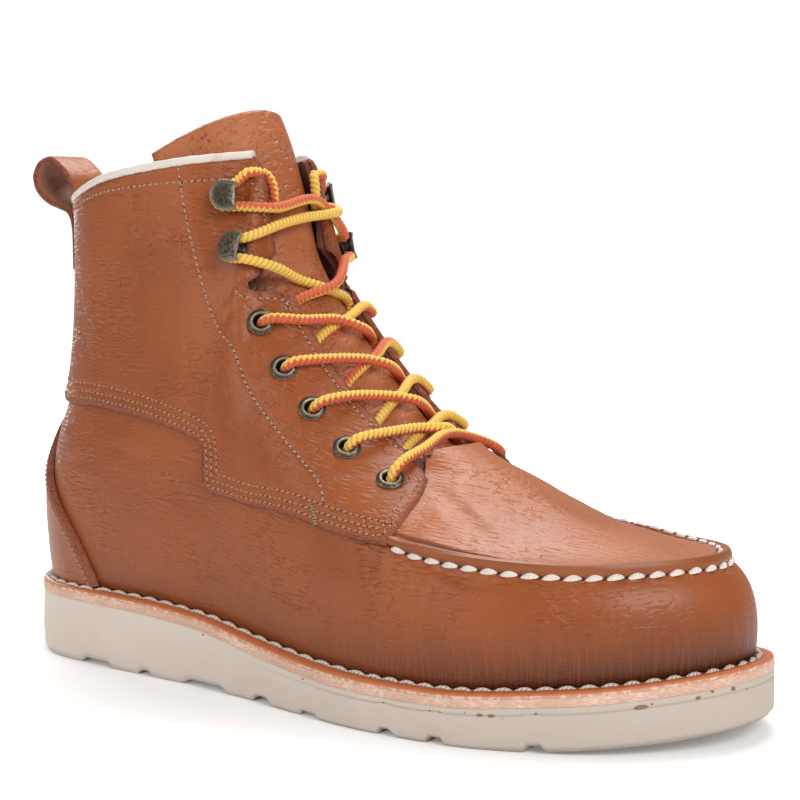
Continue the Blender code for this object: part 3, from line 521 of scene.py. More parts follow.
# The upper's lengths on a grid that reaches a quarter turn past both ends of the loop
FLOW_COLUMNS = 360
FLOW_ROWS = 80
FLOW_U = np.linspace(-0.25, 1.25, FLOW_COLUMNS + 1)
FLOW_SKIN = skin(FLOW_U[None, :], np.linspace(0, 1, FLOW_ROWS + 1)[:, None])
FLOW_UP = run_of(FLOW_SKIN)
FLOW_ALONG = run_of(FLOW_SKIN[FLOW_ROWS * 2 // 5])
def skin_flow(u, v):
    """Place on the upper in millimetres: length round it at two fifths of its height, length up it."""
    u, v = np.broadcast_arrays(u, v)
    u = np.where(u > 1.2, u - 1.0, u)
    a = np.clip((u - FLOW_U[0]) / (FLOW_U[1] - FLOW_U[0]), 0, FLOW_COLUMNS - 0.001)
    b = np.clip(v * FLOW_ROWS, 0, FLOW_ROWS - 0.001)
    i, j = a.astype(int), b.astype(int)
    s, t = a - i, b - j
    up = ((1 - t) * ((1 - s) * FLOW_UP[j, i] + s * FLOW_UP[j, i + 1])
          + t * ((1 - s) * FLOW_UP[j + 1, i] + s * FLOW_UP[j + 1, i + 1]))
    return np.stack([np.interp(u, FLOW_U, FLOW_ALONG), up], -1)


def distance(points, line):
    """Shortest distance from each point to a row of close points, and the row number found."""
    flat = points.reshape(-1, 3)
    best = np.full(len(flat), np.inf)
    where = np.zeros(len(flat), int)
    for first in range(0, len(line), 64):
        part = line[first:first + 64]
        gap = (flat ** 2).sum(1)[:, None] + (part ** 2).sum(1)[None, :] - 2 * flat @ part.T
        near = gap.argmin(1)
        gap = np.take_along_axis(gap, near[:, None], 1)[:, 0]
        where = np.where(gap < best, near + first, where)
        best = np.minimum(best, gap)
    shape = points.shape[:-1]
    return np.sqrt(np.maximum(best, 0)).reshape(shape), where.reshape(shape)


def along(path, at, values=None):
    """Points at given distances along a row of points, or other values kept at those points."""
    run = run_of(path)
    values = path if values is None else values
    return np.stack([np.interp(at, run, column) for column in values.T], -1)


def evenly(path, count):
    """A number of points at even steps along a row of points."""
    return along(path, np.linspace(0, run_of(path)[-1], count))


def averaged(line, passes):
    """A row of points with its corners rounded by averaging neighbours."""
    for _ in range(passes):
        line[1:-1] = 0.25 * line[:-2] + 0.5 * line[1:-1] + 0.25 * line[2:]
    return line


def rounded(path, count):
    """Even points on a smooth line through a few path points."""
    path = np.asarray(path, float)
    run = run_of(path)
    at = np.linspace(0, run[-1], count)
    return np.stack([curve(at, np.column_stack([run, path[:, k]])) for k in range(3)], -1)


def eased(path, count, passes=6):
    """Even points along a path with rounded corners."""
    return averaged(evenly(np.asarray(path, float), count), passes)


def capped(rows, first=None, last=None):
    """Rows with one more at each end, drawn together to a point where one is given."""
    start = rows[:1] if first is None else 0 * rows[:1] + first
    end = rows[-1:] if last is None else 0 * rows[-1:] + last
    return np.concatenate([start, rows, end])


def creased(u, v):
    """Height of the listed creases: a soft trough between low ridges, fading to its ends."""
    points = skin(u, v)
    height = np.zeros(points.shape[:-1])
    share = np.linspace(0, 1, 28)
    for place_a, level_a, place_b, level_b, bow, width, depth in CREASES:
        place = place_a + (place_b - place_a) * share
        level = level_a + (level_b - level_a) * share + bow * np.sin(2.2 * math.pi * share)
        for medial in (False, True):
            gap, where = distance(points, skin(loop_of(place, medial), level))
            fade = np.sqrt(np.sin(math.pi * np.clip(share[where], 0.0, 1.0)))
            trough = -np.exp(-(gap / width) ** 2)
            ridge = 0.45 * np.exp(-((gap - 2.1 * width) / (1.1 * width)) ** 2)
            height += depth * fade * (trough + ridge)
    return height


# Meshes from arrays


def make_piece(name, points, quads, finish, nodes=(), flow=None, marks=None, weld=False):
    """Object from arrays: points in boot millimetres, four corner numbers for each face.

    flow is a place on the surface in millimetres, kept as the piece's UV map in metres, and
    marks are named values for each point that the finish reads.
    """
    used, corners = np.unique(quads.ravel(), return_inverse=True)
    mesh = bpy.data.meshes.new(name)
    mesh.vertices.add(len(used))
    mesh.vertices.foreach_set("co", to_frame(points.reshape(-1, 3)[used]).ravel())
    mesh.loops.add(len(corners))
    mesh.loops.foreach_set("vertex_index", corners.astype(np.int32))
    mesh.polygons.add(len(quads))
    mesh.polygons.foreach_set("loop_start", np.arange(len(quads), dtype=np.int32) * 4)
    mesh.polygons.foreach_set("use_smooth", np.ones(len(quads), bool))
    if flow is not None:
        layer_uv = mesh.uv_layers.new(name="flow")
        layer_uv.data.foreach_set("uv", (flow.reshape(-1, 2)[used][corners] * MM).ravel())
    for mark, values in (marks or {}).items():
        kept = mesh.attributes.new(mark, "FLOAT", "POINT")
        kept.data.foreach_set("value", np.asarray(values, np.float32).reshape(-1)[used])
    mesh.update(calc_edges=True)
    if weld:
        work = bmesh.new()
        work.from_mesh(mesh)
        bmesh.ops.remove_doubles(work, verts=work.verts, dist=1e-6)
        bmesh.ops.recalc_face_normals(work, faces=work.faces)
        work.to_mesh(mesh)
        work.free()
    mesh.validate()
    mesh.set_sharp_from_angle(angle=math.radians(SHARP_ANGLE))
    mesh.materials.append(finish)
    item = bpy.data.objects.new(name, mesh)
    bpy.context.collection.objects.link(item)
    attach(item, "root")
    if nodes:
        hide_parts(*nodes)
    return item


def cells(rows, cols, ring=False):
    """Corner numbers of the cells of a grid of points; ring joins the last column to the first."""
    r, c = np.meshgrid(np.arange(rows - 1), np.arange(cols if ring else cols - 1), indexing="ij")
    a = (r * cols + c).ravel()
    b = (r * cols + (c + 1) % cols).ravel()
    return np.stack([a, b, b + cols, a + cols], -1)


def sheet_faces(keep, ring=False):
    """Faces of a closed sheet over a grid: outer cells, inner cells, walls round every kept edge.

    keep says which cells stay; the inner points follow the outer points.
    """
    rows, cols = keep.shape
    width = cols if ring else cols + 1
    half = (rows + 1) * width
    r, c = np.meshgrid(np.arange(rows), np.arange(cols), indexing="ij")
    a = r * width + c
    b = r * width + (c + 1) % width
    d, e = a + width, b + width
    none = np.zeros((1, cols), bool)
    below = np.concatenate([none, keep[:-1]])
    above_it = np.concatenate([keep[1:], none])
    before = np.roll(keep, 1, axis=1)
    after = np.roll(keep, -1, axis=1)
    if not ring:
        before[:, 0] = False
        after[:, -1] = False
    faces = [np.stack([a, b, e, d], -1)[keep], np.stack([a, d, e, b], -1)[keep] + half]
    for open_edge, first, last in ((keep & ~below, b, a), (keep & ~above_it, d, e),
                                   (keep & ~before, a, d), (keep & ~after, e, b)):
        faces.append(np.stack([first, last, last + half, first + half], -1)[open_edge])
    return np.concatenate(faces)


def make_sheet(name, outer, inner, finish, node, flow=None, keep=None, ring=False, slot="leather", **marks):
    """Closed sheet between two grids of points; keep says which cells stay.

    A mark is a value or an array for the points of both sides, or a pair for outer and inner.
    """
    shape = outer.shape[:2]
    if keep is None:
        keep = np.ones((shape[0] - 1, shape[1] if ring else shape[1] - 1), bool)
    points = np.concatenate([outer.reshape(-1, 3), inner.reshape(-1, 3)])
    if flow is not None:
        flow = np.concatenate([flow.reshape(-1, 2)] * 2)
    for mark_name, value in marks.items():
        pair = value if isinstance(value, tuple) else (value, value)
        marks[mark_name] = np.concatenate([np.broadcast_to(part, shape).ravel() for part in pair])
    return make_piece(name, points, sheet_faces(keep, ring), finish, [node], flow=flow, marks=marks)


def grid_flow(points):
    """Place on a surface grid: mean length along its rows and length up its columns."""
    up = run_of(points)
    side = run_of(points.swapaxes(0, 1)).mean(axis=1)
    return np.stack([np.broadcast_to(side, up.shape), up], -1)


def tube(path, radius, around):
    """Round cord along a path: rings square to it, carried along without twist.

    radius may change from ring to ring and round each ring.
    """
    ahead = heading(path)
    side = np.zeros_like(path)
    side[0] = unit(np.cross(ahead[0], (0.3, 0.1, 0.9)))
    for k in range(1, len(path)):
        kept = side[k - 1] - ahead[k] * (side[k - 1] @ ahead[k])
        side[k] = kept / np.linalg.norm(kept)
    up = np.cross(ahead, side)
    turn = ring_angles(around)[:, None]
    ring = side[:, None] * np.cos(turn) + up[:, None] * np.sin(turn)
    return path[:, None] + ring * radius[..., None], ring


def stitch_row(path, out, pitch, fill, width, lift, slant=0.0, point=0.5):
    """Row of thread loops on a path: each a lens-shaped tube that rises from its two holes.

    Along each loop s runs from -1 to 1; its half width is 1 - s squared to the power point and
    its height above the path is lift times 1 - s squared.  Gives points, faces and flow.
    """
    rings, around = 7, 6
    total = run_of(path)[-1]
    count = max(1, int(round(total / pitch)))
    pitch = total / count
    s = np.linspace(-1, 1, rings)
    at = (np.arange(count)[:, None] + 0.5) * pitch + s[None, :] * pitch * fill / 2
    normal = unit(along(path, at, out))
    side = unit(np.cross(normal, unit(along(path, at, heading(path)))))
    half = width / 2 * (np.maximum(1 - s ** 2, 0.004) ** point)[None, :, None]
    spine = along(path, at) + side * (slant * s)[None, :, None]
    spine = spine + normal * (lift * (1 - s ** 2) - 0.25 * width)[None, :, None]
    turn = ring_angles(around)
    ring = (side[:, :, None] * np.cos(turn)[:, None] * half[..., None]
            + normal[:, :, None] * np.sin(turn)[:, None] * 0.8 * half[..., None])
    points = (spine[:, :, None] + ring).reshape(-1, 3)
    ends = np.array([(0, 1, 2, 3), (0, 3, 4, 5), (39, 38, 37, 36), (41, 40, 39, 36)])
    one = np.concatenate([cells(rings, around, ring=True)[:, [0, 3, 2, 1]], ends])
    quads = (np.arange(count)[:, None, None] * rings * around + one[None]).reshape(-1, 4)
    flow = np.stack(np.broadcast_arrays(at[:, :, None], width / 2 * np.cos(turn)), -1).reshape(-1, 2)
    return points, quads, flow


def pinholes(path, out, pitch, radius, lift=0.05):
    """Painted shade of the thread holes between the loops of a row: flat octagons of three faces each."""
    total = run_of(path)[-1]
    count = max(1, int(round(total / pitch)))
    at = np.arange(count + 1) * total / count
    lead = unit(along(path, at, heading(path)))
    normal = unit(along(path, at, out))
    side = np.cross(normal, lead)
    turn = (2 * math.pi * (np.arange(8) + 0.5) / 8)[:, None]
    disc = lead[:, None] * np.cos(turn) + side[:, None] * np.sin(turn)
    points = ((along(path, at) + normal * lift)[:, None] + disc * radius).reshape(-1, 3)
    one = np.array([(0, 1, 2, 3), (0, 3, 4, 7), (4, 5, 6, 7)])
    quads = (np.arange(count + 1)[:, None, None] * 8 + one[None]).reshape(-1, 4)
    return points, quads, 0 * points[:, :2]


def gathered(parts):
    """Several pieces of points, faces and more columns put together as one."""
    firsts = np.cumsum([0] + [part[0].reshape(-1, 3).shape[0] for part in parts])
    points = np.concatenate([part[0].reshape(-1, 3) for part in parts])
    quads = np.concatenate([part[1] + first for part, first in zip(parts, firsts)])
    more = [np.concatenate([part[k] for part in parts]) for k in range(2, len(parts[0]))]
    return points, quads, *more


def sew(name, rows, finish, hole=0.0):
    """Thread piece from rows of path, outward direction and stitch, and a piece of painted shade discs at
    their holes.
    """
    points, quads, flow = gathered([stitch_row(*row) for row in rows])
    make_piece(name, points, quads, finish, flow=flow)
    if hole:
        points, quads, flow = gathered([pinholes(*row[:3], hole) for row in rows])
        make_piece(name + "_hole_shades", points, quads, HOLE_SHADE, flow=flow)


# Finishes


def add(tree, kind, settings=None, **inputs):
    """New node with its settings; an input given as a socket is linked, any other is its value."""
    made = tree.nodes.new(kind)
    for key, value in (settings or {}).items():
        setattr(made, key, value)
    for key, value in inputs.items():
        socket = made.inputs[int(key[1:])] if key[0] == "_" else made.inputs[key.replace("_", " ")]
        if isinstance(value, bpy.types.NodeSocket):
            tree.links.new(value, socket)
        else:
            socket.default_value = value
    return made


def maths(tree, operation, first, second=0.0, third=0.0):
    """Output of a Math node."""
    return add(tree, "ShaderNodeMath", {"operation": operation}, _0=first, _1=second, _2=third).outputs[0]


def times(tree, first, second):
    """Product of two values."""
    return maths(tree, "MULTIPLY", first, second)


def noisy(tree, vector, scale, detail, kind="3D"):
    """Outputs of a noise texture."""
    return add(tree, "ShaderNodeTexNoise", {"noise_dimensions": kind},
               Vector=vector, Scale=scale, Detail=detail).outputs


def object_place(tree):
    """Place in the piece's own coordinates, in metres."""
    return add(tree, "ShaderNodeTexCoord").outputs["Object"]


def surface_flow(tree):
    """Place on the piece's own surface, in metres."""
    return add(tree, "ShaderNodeUVMap", {"uv_map": "flow"}).outputs["UV"]


def blend(tree, factor, first, second):
    """Mixed colour."""
    made = tree.nodes.new("ShaderNodeMix")
    made.data_type = "RGBA"
    for socket, value in ((made.inputs[0], factor), (made.inputs[6], first), (made.inputs[7], second)):
        if isinstance(value, bpy.types.NodeSocket):
            tree.links.new(value, socket)
        else:
            socket.default_value = value if isinstance(value, float) else (*value, 1.0)
    return made.outputs[2]


def tinted(tree, colour, *layers):
    """Colour with other colours laid over it, each by its share."""
    for share, tint in layers:
        colour = blend(tree, share, colour, tint)
    return colour


def ramp(tree, value, low, high, out_low=0.0, out_high=1.0):
    """Soft step of a value between two limits."""
    made = add(tree, "ShaderNodeMapRange", {"interpolation_type": "SMOOTHSTEP"}, Value=value)
    for key, number in (("From Min", low), ("From Max", high), ("To Min", out_low), ("To Max", out_high)):
        made.inputs[key].default_value = number
    return made.outputs["Result"]


def mark(tree, name):
    """Value that the piece keeps at each of its points."""
    return add(tree, "ShaderNodeAttribute", {"attribute_name": name}).outputs["Fac"]


def new_group(name, inputs, outputs):
    """Empty shader group with named sockets, and its two end nodes."""
    group = bpy.data.node_groups.new(name, "ShaderNodeTree")
    for label, kind, value in inputs:
        socket = group.interface.new_socket(name=label, in_out="INPUT", socket_type="NodeSocket" + kind)
        if value is not None:
            socket.default_value = value
    for label, kind in outputs:
        group.interface.new_socket(name=label, in_out="OUTPUT", socket_type="NodeSocket" + kind)
    return group, group.nodes.new("NodeGroupInput").outputs, group.nodes.new("NodeGroupOutput").inputs


def hide_grain_group():
    """Grained leather: furrows between domed cells, pebbles blended into long low wrinkles, in patches."""
    group, given, made = new_group(
        "hide_grain",
        [("Place", "Vector", None), ("Flow", "Vector", None), ("Pebble", "Float", 640.0),
         ("Wrinkle", "Float", 640.0), ("Pull", "Float", 0.5), ("Furrow", "Float", 0.16)],
        [("Height", "Float"), ("Crevice", "Float"), ("Lip Highlight", "Float"), ("Tone", "Float")])
    place = given["Place"]

    def moved(vector, scale, detail, reach):
        """Vector moved about by noise."""
        return add(group, "ShaderNodeVectorMath", {"operation": "MULTIPLY_ADD"},
                   _0=noisy(group, vector, scale, detail)["Color"], _1=reach, _2=vector).outputs[0]

    def patchy(scale, detail, *limits):
        """Soft patches of noise between two values."""
        return ramp(group, noisy(group, place, scale, detail)["Fac"], *limits)

    pebble = add(group, "ShaderNodeTexVoronoi", {"feature": "DISTANCE_TO_EDGE"},
                 Vector=moved(place, 320.0, 2.0, (0.0011, 0.0011, 0.0011)),
                 Scale=given["Pebble"], Randomness=1.0)
    swayed = moved(given["Flow"], 120.0, 3.0, (0.0036, 0.0030, 0.0))
    stretched = add(group, "ShaderNodeMapping", Vector=swayed, Scale=(0.25, 1.0, 1.0)).outputs[0]
    wrinkle = add(group, "ShaderNodeTexVoronoi", {"feature": "DISTANCE_TO_EDGE", "voronoi_dimensions": "2D"},
                  Vector=stretched, Scale=given["Wrinkle"], Randomness=0.9)
    share = times(group, given["Pull"], patchy(48.0, 2.0, 0.35, 0.65, 0.8, 1.0))
    field = add(group, "ShaderNodeMix", {"data_type": "FLOAT"}, _0=share,
                _2=pebble.outputs["Distance"], _3=wrinkle.outputs["Distance"]).outputs[0]
    force = times(group, patchy(34.0, 3.0, 0.38, 0.64, 0.30, 1.0), patchy(270.0, 2.0, 0.40, 0.62, 0.10, 1.0))
    line = ramp(group, maths(group, "DIVIDE", field, given["Furrow"]), 0.0, 1.0, -0.55, 0.0)
    dome = maths(group, "MULTIPLY_ADD", ramp(group, field, 0.0, 0.50), 0.45, line)
    fine = noisy(group, place, 2000.0, 3.0)["Fac"]
    # Lips: a band beside each furrow, where the leather lays a painted highlight
    lips = times(group, ramp(group, field, 0.05, 0.12), ramp(group, field, 0.12, 0.26, 1.0, 0.0))
    # Crevice is painted shade in the furrows, laid into the leather's colour
    for name, value in (("Height", maths(group, "MULTIPLY_ADD", fine, 0.09, times(group, dome, force))),
                        ("Crevice", times(group, force, ramp(group, field, 0.0, 0.10, 1.0, 0.0))),
                        ("Lip Highlight", times(group, force, lips)),
                        ("Tone", noisy(group, place, 30.0, 4.0)["Fac"])):
        group.links.new(value, made[name])
    return group


def speckle_group():
    """Small spots: noise cut at a level, with a soft border."""
    group, given, made = new_group(
        "speckle",
        [("Place", "Vector", None), ("Scale", "Float", 300.0), ("Level", "Float", 0.6)],
        [("Spots", "Float"), ("Tone", "Float")])
    tone = noisy(group, given["Place"], given["Scale"], 4.0)["Fac"]
    group.links.new(ramp(group, maths(group, "SUBTRACT", tone, given["Level"]), 0.0, 0.05), made["Spots"])
    group.links.new(tone, made["Tone"])
    return group


HIDE_GRAIN = hide_grain_group()
SPECKLE = speckle_group()


def new_finish(name, **values):
    """Principled material with values for its shader's sockets, and its tree."""
    made = bpy.data.materials.new(name)
    made.use_nodes = True
    shader = made.node_tree.nodes["Principled BSDF"]
    for key, value in values.items():
        shader.inputs[key.replace("_", " ")].default_value = value
    return made, made.node_tree


def use_group(tree, group, **inputs):
    """Outputs of a shared effect placed in a material with its own values."""
    return add(tree, "ShaderNodeGroup", {"node_tree": group}, **inputs).outputs


def speckle(tree, place, scale, level):
    """Outputs of the speckle effect."""
    return use_group(tree, SPECKLE, Place=place, Scale=scale, Level=level)


def covered(made, colour, height, strength, depth, roughness=None):
    """The material with its colour, its relief in metres and its roughness linked to the shader."""
    tree = made.node_tree
    shader = tree.nodes["Principled BSDF"]
    relief = add(tree, "ShaderNodeBump", Strength=strength, Distance=depth, Height=height)
    tree.links.new(colour, shader.inputs["Base Color"])
    tree.links.new(relief.outputs["Normal"], shader.inputs["Normal"])
    if roughness is not None:
        tree.links.new(roughness, shader.inputs["Roughness"])
    return made


def leather(name, colours, pebble=520.0, wrinkle=500.0, pull=0.5, furrow=0.17, depth=0.0005,
            rough=(0.36, 0.48), coat=0.05, crevice=0.24, shade=None, streaks=0.0, flesh=None):
    """Oiled full-grain leather: grain group for relief, painted shade in its crevices and painted highlight
    on their lips, cut edge and painted low shade by marks.
    """
    made, tree = new_finish(name, Specular_IOR_Level=0.42, Coat_Weight=coat, Coat_Roughness=0.30)
    place = object_place(tree)
    flow = surface_flow(tree)
    grain = use_group(tree, HIDE_GRAIN, Place=place, Flow=flow, Pebble=pebble, Wrinkle=wrinkle, Pull=pull,
                      Furrow=furrow)
    strong = mark(tree, "grain")
    base, deep, pale = colours
    # Painted highlight on the lips of the grain, in a colour 1.38 times the pale one
    wear_and_highlight = times(tree, times(tree, grain["Lip Highlight"], strong), 0.40)
    # Painted shade in the furrows of the grain, in the deep colour
    crevice_shade = times(tree, times(tree, grain["Crevice"], strong), crevice)
    colour = tinted(tree, base, (ramp(tree, grain["Tone"], 0.35, 0.65), pale),
                    (wear_and_highlight, tuple(1.38 * part for part in pale)), (crevice_shade, deep))
    height = times(tree, grain["Height"], strong)
    roughness = ramp(tree, grain["Tone"], 0.25, 0.75, *rough)
    if shade is not None:
        # The low mark is painted shade; where streaks are asked, streak lines in the same colour run through
        # it
        low = mark(tree, "low")
        pulled = add(tree, "ShaderNodeMapping", Vector=flow, Scale=(1.0, 0.06, 1.0)).outputs[0]
        streak = noisy(tree, pulled, 820.0, 3.0, "2D")["Fac"]
        lines = times(tree, low, ramp(tree, streak, 0.35, 0.65, 0.0, streaks))
        height = maths(tree, "SUBTRACT", height, lines)
        colour = blend(tree, maths(tree, "MULTIPLY_ADD", lines, 0.35, times(tree, low, 0.74)), colour, shade)
    if flesh is not None:
        back = mark(tree, "flesh")
        nap = speckle(tree, place, 700.0, 0.48)["Tone"]
        colour = blend(tree, back, colour, blend(tree, nap, *flesh))
        roughness = maths(tree, "MULTIPLY_ADD", back, 0.40, roughness)
    cut = mark(tree, "edge")
    fibre = speckle(tree, place, 900.0, 0.45)["Spots"]
    colour = blend(tree, cut, colour, blend(tree, fibre, *CUT_EDGE))
    roughness = maths(tree, "MULTIPLY_ADD", cut, 0.20, roughness)
    return covered(made, colour, height, 1.0, depth, roughness)


# Leather colours: base, deep colour for the painted shade in the grain's furrows, and pale
RUSSET = ((0.275, 0.062, 0.0095), (0.080, 0.015, 0.003), (0.320, 0.075, 0.0125))
# Painted light: the toe plug's russet is lighter than the quarter's for the light from above; the strap
# reuses these colours
RUSSET_PLUG = ((0.345, 0.088, 0.018), (0.110, 0.023, 0.005), (0.390, 0.107, 0.025))
RUSSET_TONGUE = ((0.360, 0.098, 0.027), (0.095, 0.021, 0.007), (0.430, 0.128, 0.040))
CUT_EDGE = ((0.165, 0.035, 0.013), (0.250, 0.064, 0.026))
# Painted shade on the toe plug's lip and in its fold line
LIP_SHADE = (0.110, 0.026, 0.006)
# Painted shade low on the vamp, darker towards the welt; the same colour also draws the vamp's streaks
WELT_SHADE_AND_STREAKS = (0.062, 0.016, 0.007)
# Painted shade on the tongue where the facings cover it
TONGUE_SHADE = (0.070, 0.017, 0.009)


def suede(name, dark, light):
    """Flesh side of leather: short nap from fine noise, no gloss."""
    made, tree = new_finish(name, Roughness=0.95, Sheen_Weight=0.2)
    nap = speckle(tree, object_place(tree), 700.0, 0.48)["Tone"]
    return covered(made, blend(tree, nap, dark, light), nap, 0.5, 0.0004)


def foam_rubber(name):
    """Pale wedge rubber: almost even, with a faint cloud, fine pores and a few glue spots near the top."""
    made, tree = new_finish(name, Roughness=0.78)
    place = object_place(tree)
    cloud = speckle(tree, place, 26.0, 0.5)["Tone"]
    along_x = add(tree, "ShaderNodeSeparateXYZ", Vector=place).outputs[0]
    line = times(tree, mark(tree, "line"), 0.55)
    glue = times(tree, speckle(tree, place, 210.0, 0.67)["Spots"], mark(tree, "rim"))
    stain = times(tree, speckle(tree, place, 42.0, 0.68)["Spots"], 0.22)
    under = times(tree, mark(tree, "tread"), 0.5)
    colour = blend(tree, cloud, (0.650, 0.550, 0.475), (0.750, 0.655, 0.580))
    colour = tinted(tree, colour, (ramp(tree, along_x, -0.05, 0.13), (0.545, 0.465, 0.395)),
                    (line, (0.34, 0.25, 0.19)), (glue, (0.200, 0.088, 0.050)), (stain, (0.55, 0.34, 0.28)),
                    (under, (0.42, 0.33, 0.27)))
    return covered(made, colour, speckle(tree, place, 1500.0, 0.5)["Tone"], 0.35, 0.0003)


def fibre_edge(name, pale, fleck, dark):
    """Cut edge of pressed fibre: streaks along the edge, loose flecks and darker clouds."""
    made, tree = new_finish(name, Roughness=0.85)
    place = object_place(tree)
    drawn = add(tree, "ShaderNodeMapping", Vector=place, Scale=(0.4, 0.4, 1.6)).outputs[0]
    streaks = speckle(tree, drawn, 1300.0, 0.50)
    cloud = ramp(tree, speckle(tree, place, 70.0, 0.5)["Tone"], 0.35, 0.65, 0.0, 0.6)
    colour = tinted(tree, pale, (streaks["Spots"], fleck), (cloud, dark))
    return covered(made, colour, streaks["Tone"], 0.7, 0.0005)


def welt_leather(name):
    """Waxed welt: orange tan on top and on its bevel, paler and fibrous on its cut edge by a mark, with
    painted shade under the upper by the deep mark.
    """
    made, tree = new_finish(name)
    fleck = speckle(tree, object_place(tree), 500.0, 0.5)
    cut = mark(tree, "edge")
    top = blend(tree, fleck["Tone"], (0.44, 0.105, 0.028), (0.60, 0.180, 0.058))
    side = blend(tree, fleck["Spots"], (0.58, 0.32, 0.21), (0.74, 0.51, 0.40))
    # The deep mark is painted shade, near black
    deep = times(tree, mark(tree, "deep"), 0.9)
    colour = tinted(tree, top, (cut, side), (deep, (0.030, 0.011, 0.006)))
    return covered(made, colour, fleck["Tone"], 0.5, 0.0003, maths(tree, "MULTIPLY_ADD", cut, 0.35, 0.45))


def thread(name, colour, shade, relief=0.5):
    """Twisted waxed thread: plies that slant across each loop, from a banded wave on its own flow."""
    made, tree = new_finish(name, Roughness=0.6)
    slanted = add(tree, "ShaderNodeMapping", Vector=surface_flow(tree), Rotation=(0.0, 0.0, 0.85)).outputs[0]
    ply = add(tree, "ShaderNodeTexWave", {"bands_direction": "X"}, Vector=slanted, Scale=330.0,
              Distortion=1.2, Detail=2.0).outputs["Fac"]
    # The plies' grooves take the shade colour: painted shade between the plies
    return covered(made, blend(tree, ply, shade, colour), ply, relief, 0.0003)


def binding_tape(name):
    """Cream grosgrain strip: fine ribs across it, slightly soiled."""
    made, tree = new_finish(name, Roughness=0.8)
    ribs = add(tree, "ShaderNodeTexWave", {"bands_direction": "X"}, Vector=surface_flow(tree), Scale=420.0,
               Distortion=1.5).outputs["Fac"]
    soil = times(tree, speckle(tree, object_place(tree), 90.0, 0.56)["Spots"], 0.25)
    colour = blend(tree, ribs, (0.715, 0.635, 0.565), (0.745, 0.670, 0.605))
    return covered(made, blend(tree, soil, colour, (0.46, 0.36, 0.29)), ribs, 0.25, 0.0001)


def aged_brass(name):
    """Dark antique brass: rubbed pale where it is proud, blotched and pitted elsewhere."""
    made, tree = new_finish(name, Metallic=0.9)
    place = object_place(tree)
    patina = speckle(tree, place, 900.0, 0.50)
    pits = speckle(tree, place, 1900.0, 0.55)
    colour = blend(tree, patina["Spots"], (0.098, 0.081, 0.055), (0.046, 0.038, 0.027))
    colour = tinted(tree, colour, (times(tree, pits["Spots"], 0.45), (0.030, 0.024, 0.016)),
                    (times(tree, mark(tree, "wear_and_highlight"), 0.75), (0.44, 0.39, 0.30)))
    roughness = ramp(tree, patina["Tone"], 0.35, 0.65, 0.30, 0.55)
    return covered(made, colour, pits["Tone"], 0.5, 0.00015, roughness)


def braid(name):
    """Two-colour round braid: which side of the cord a point is on, cut by a zigzag along it."""
    made, tree = new_finish(name, Roughness=0.70, Sheen_Weight=0.12)
    length = add(tree, "ShaderNodeSeparateXYZ", Vector=surface_flow(tree)).outputs[0]
    turns = times(tree, length, 1000.0 / BRAID_PITCH)
    saw = maths(tree, "ABSOLUTE", maths(tree, "SUBTRACT", maths(tree, "FRACT", turns), 0.5))
    side = maths(tree, "MULTIPLY_ADD", maths(tree, "SUBTRACT", saw, 0.25), 1.25, mark(tree, "side"))
    fibre = speckle(tree, object_place(tree), 2200.0, 0.5)["Tone"]
    gold = blend(tree, fibre, (0.72, 0.39, 0.040), (0.99, 0.70, 0.14))
    rust = blend(tree, fibre, (0.52, 0.075, 0.022), (0.80, 0.165, 0.058))
    # Painted shade in the gaps between the braid's lobes
    gap = times(tree, mark(tree, "gap"), 0.45)
    colour = tinted(tree, rust, (ramp(tree, side, -0.20, -0.06), gold), (gap, (0.17, 0.040, 0.012)))
    return covered(made, colour, fibre, 0.6, 0.00025)


VAMP = leather("russet_vamp", RUSSET, pull=0.92, shade=WELT_SHADE_AND_STREAKS, streaks=0.7)
QUARTER = leather("russet_quarter", RUSSET, pull=0.96)
PLUG = leather("russet_plug", RUSSET_PLUG, pebble=460.0, wrinkle=520.0, pull=0.78, furrow=0.17, depth=0.0004,
               rough=(0.36, 0.46), crevice=0.42, shade=LIP_SHADE)
TONGUE_HIDE = leather("russet_tongue", RUSSET_TONGUE, pebble=360.0, wrinkle=320.0, pull=0.55, furrow=0.20,
                      depth=0.0011, rough=(0.38, 0.50), crevice=0.55, shade=TONGUE_SHADE)
STRAP = leather("russet_strap", RUSSET_PLUG, pebble=560.0, pull=0.6,
                flesh=((0.250, 0.105, 0.066), (0.400, 0.190, 0.125)))
LINING = suede("flesh_lining", (0.125, 0.036, 0.020), (0.205, 0.068, 0.040))
RUBBER = foam_rubber("pale_wedge_rubber")
FIBRE = fibre_edge("pressed_midsole", (0.72, 0.455, 0.335), (0.83, 0.61, 0.50), (0.62, 0.36, 0.25))
WELT = welt_leather("waxed_welt")
SEAM_THREAD = thread("cream_thread", (0.80, 0.73, 0.66), (0.72, 0.64, 0.57), 0.2)
WELT_THREAD = thread("grey_thread", (0.78, 0.70, 0.63), (0.44, 0.355, 0.29))
TAN_THREAD = thread("tan_thread", (0.52, 0.255, 0.145), (0.26, 0.100, 0.050))
BONE_THREAD = thread("bone_thread", (0.52, 0.34, 0.235), (0.25, 0.12, 0.070))
# Dark flat discs at the thread holes: painted shade of the holes
HOLE_SHADE = suede("thread_hole_shade", (0.040, 0.011, 0.006), (0.070, 0.020, 0.012))
GLUE = suede("dried_glue", (0.230, 0.115, 0.068), (0.330, 0.175, 0.110))
TAPE = binding_tape("cream_tape")
BRASS = aged_brass("aged_brass")
BRAID = braid("two_colour_braid")
FOOTBED = suede("footbed", (0.16, 0.075, 0.038), (0.26, 0.130, 0.070))


# Sole


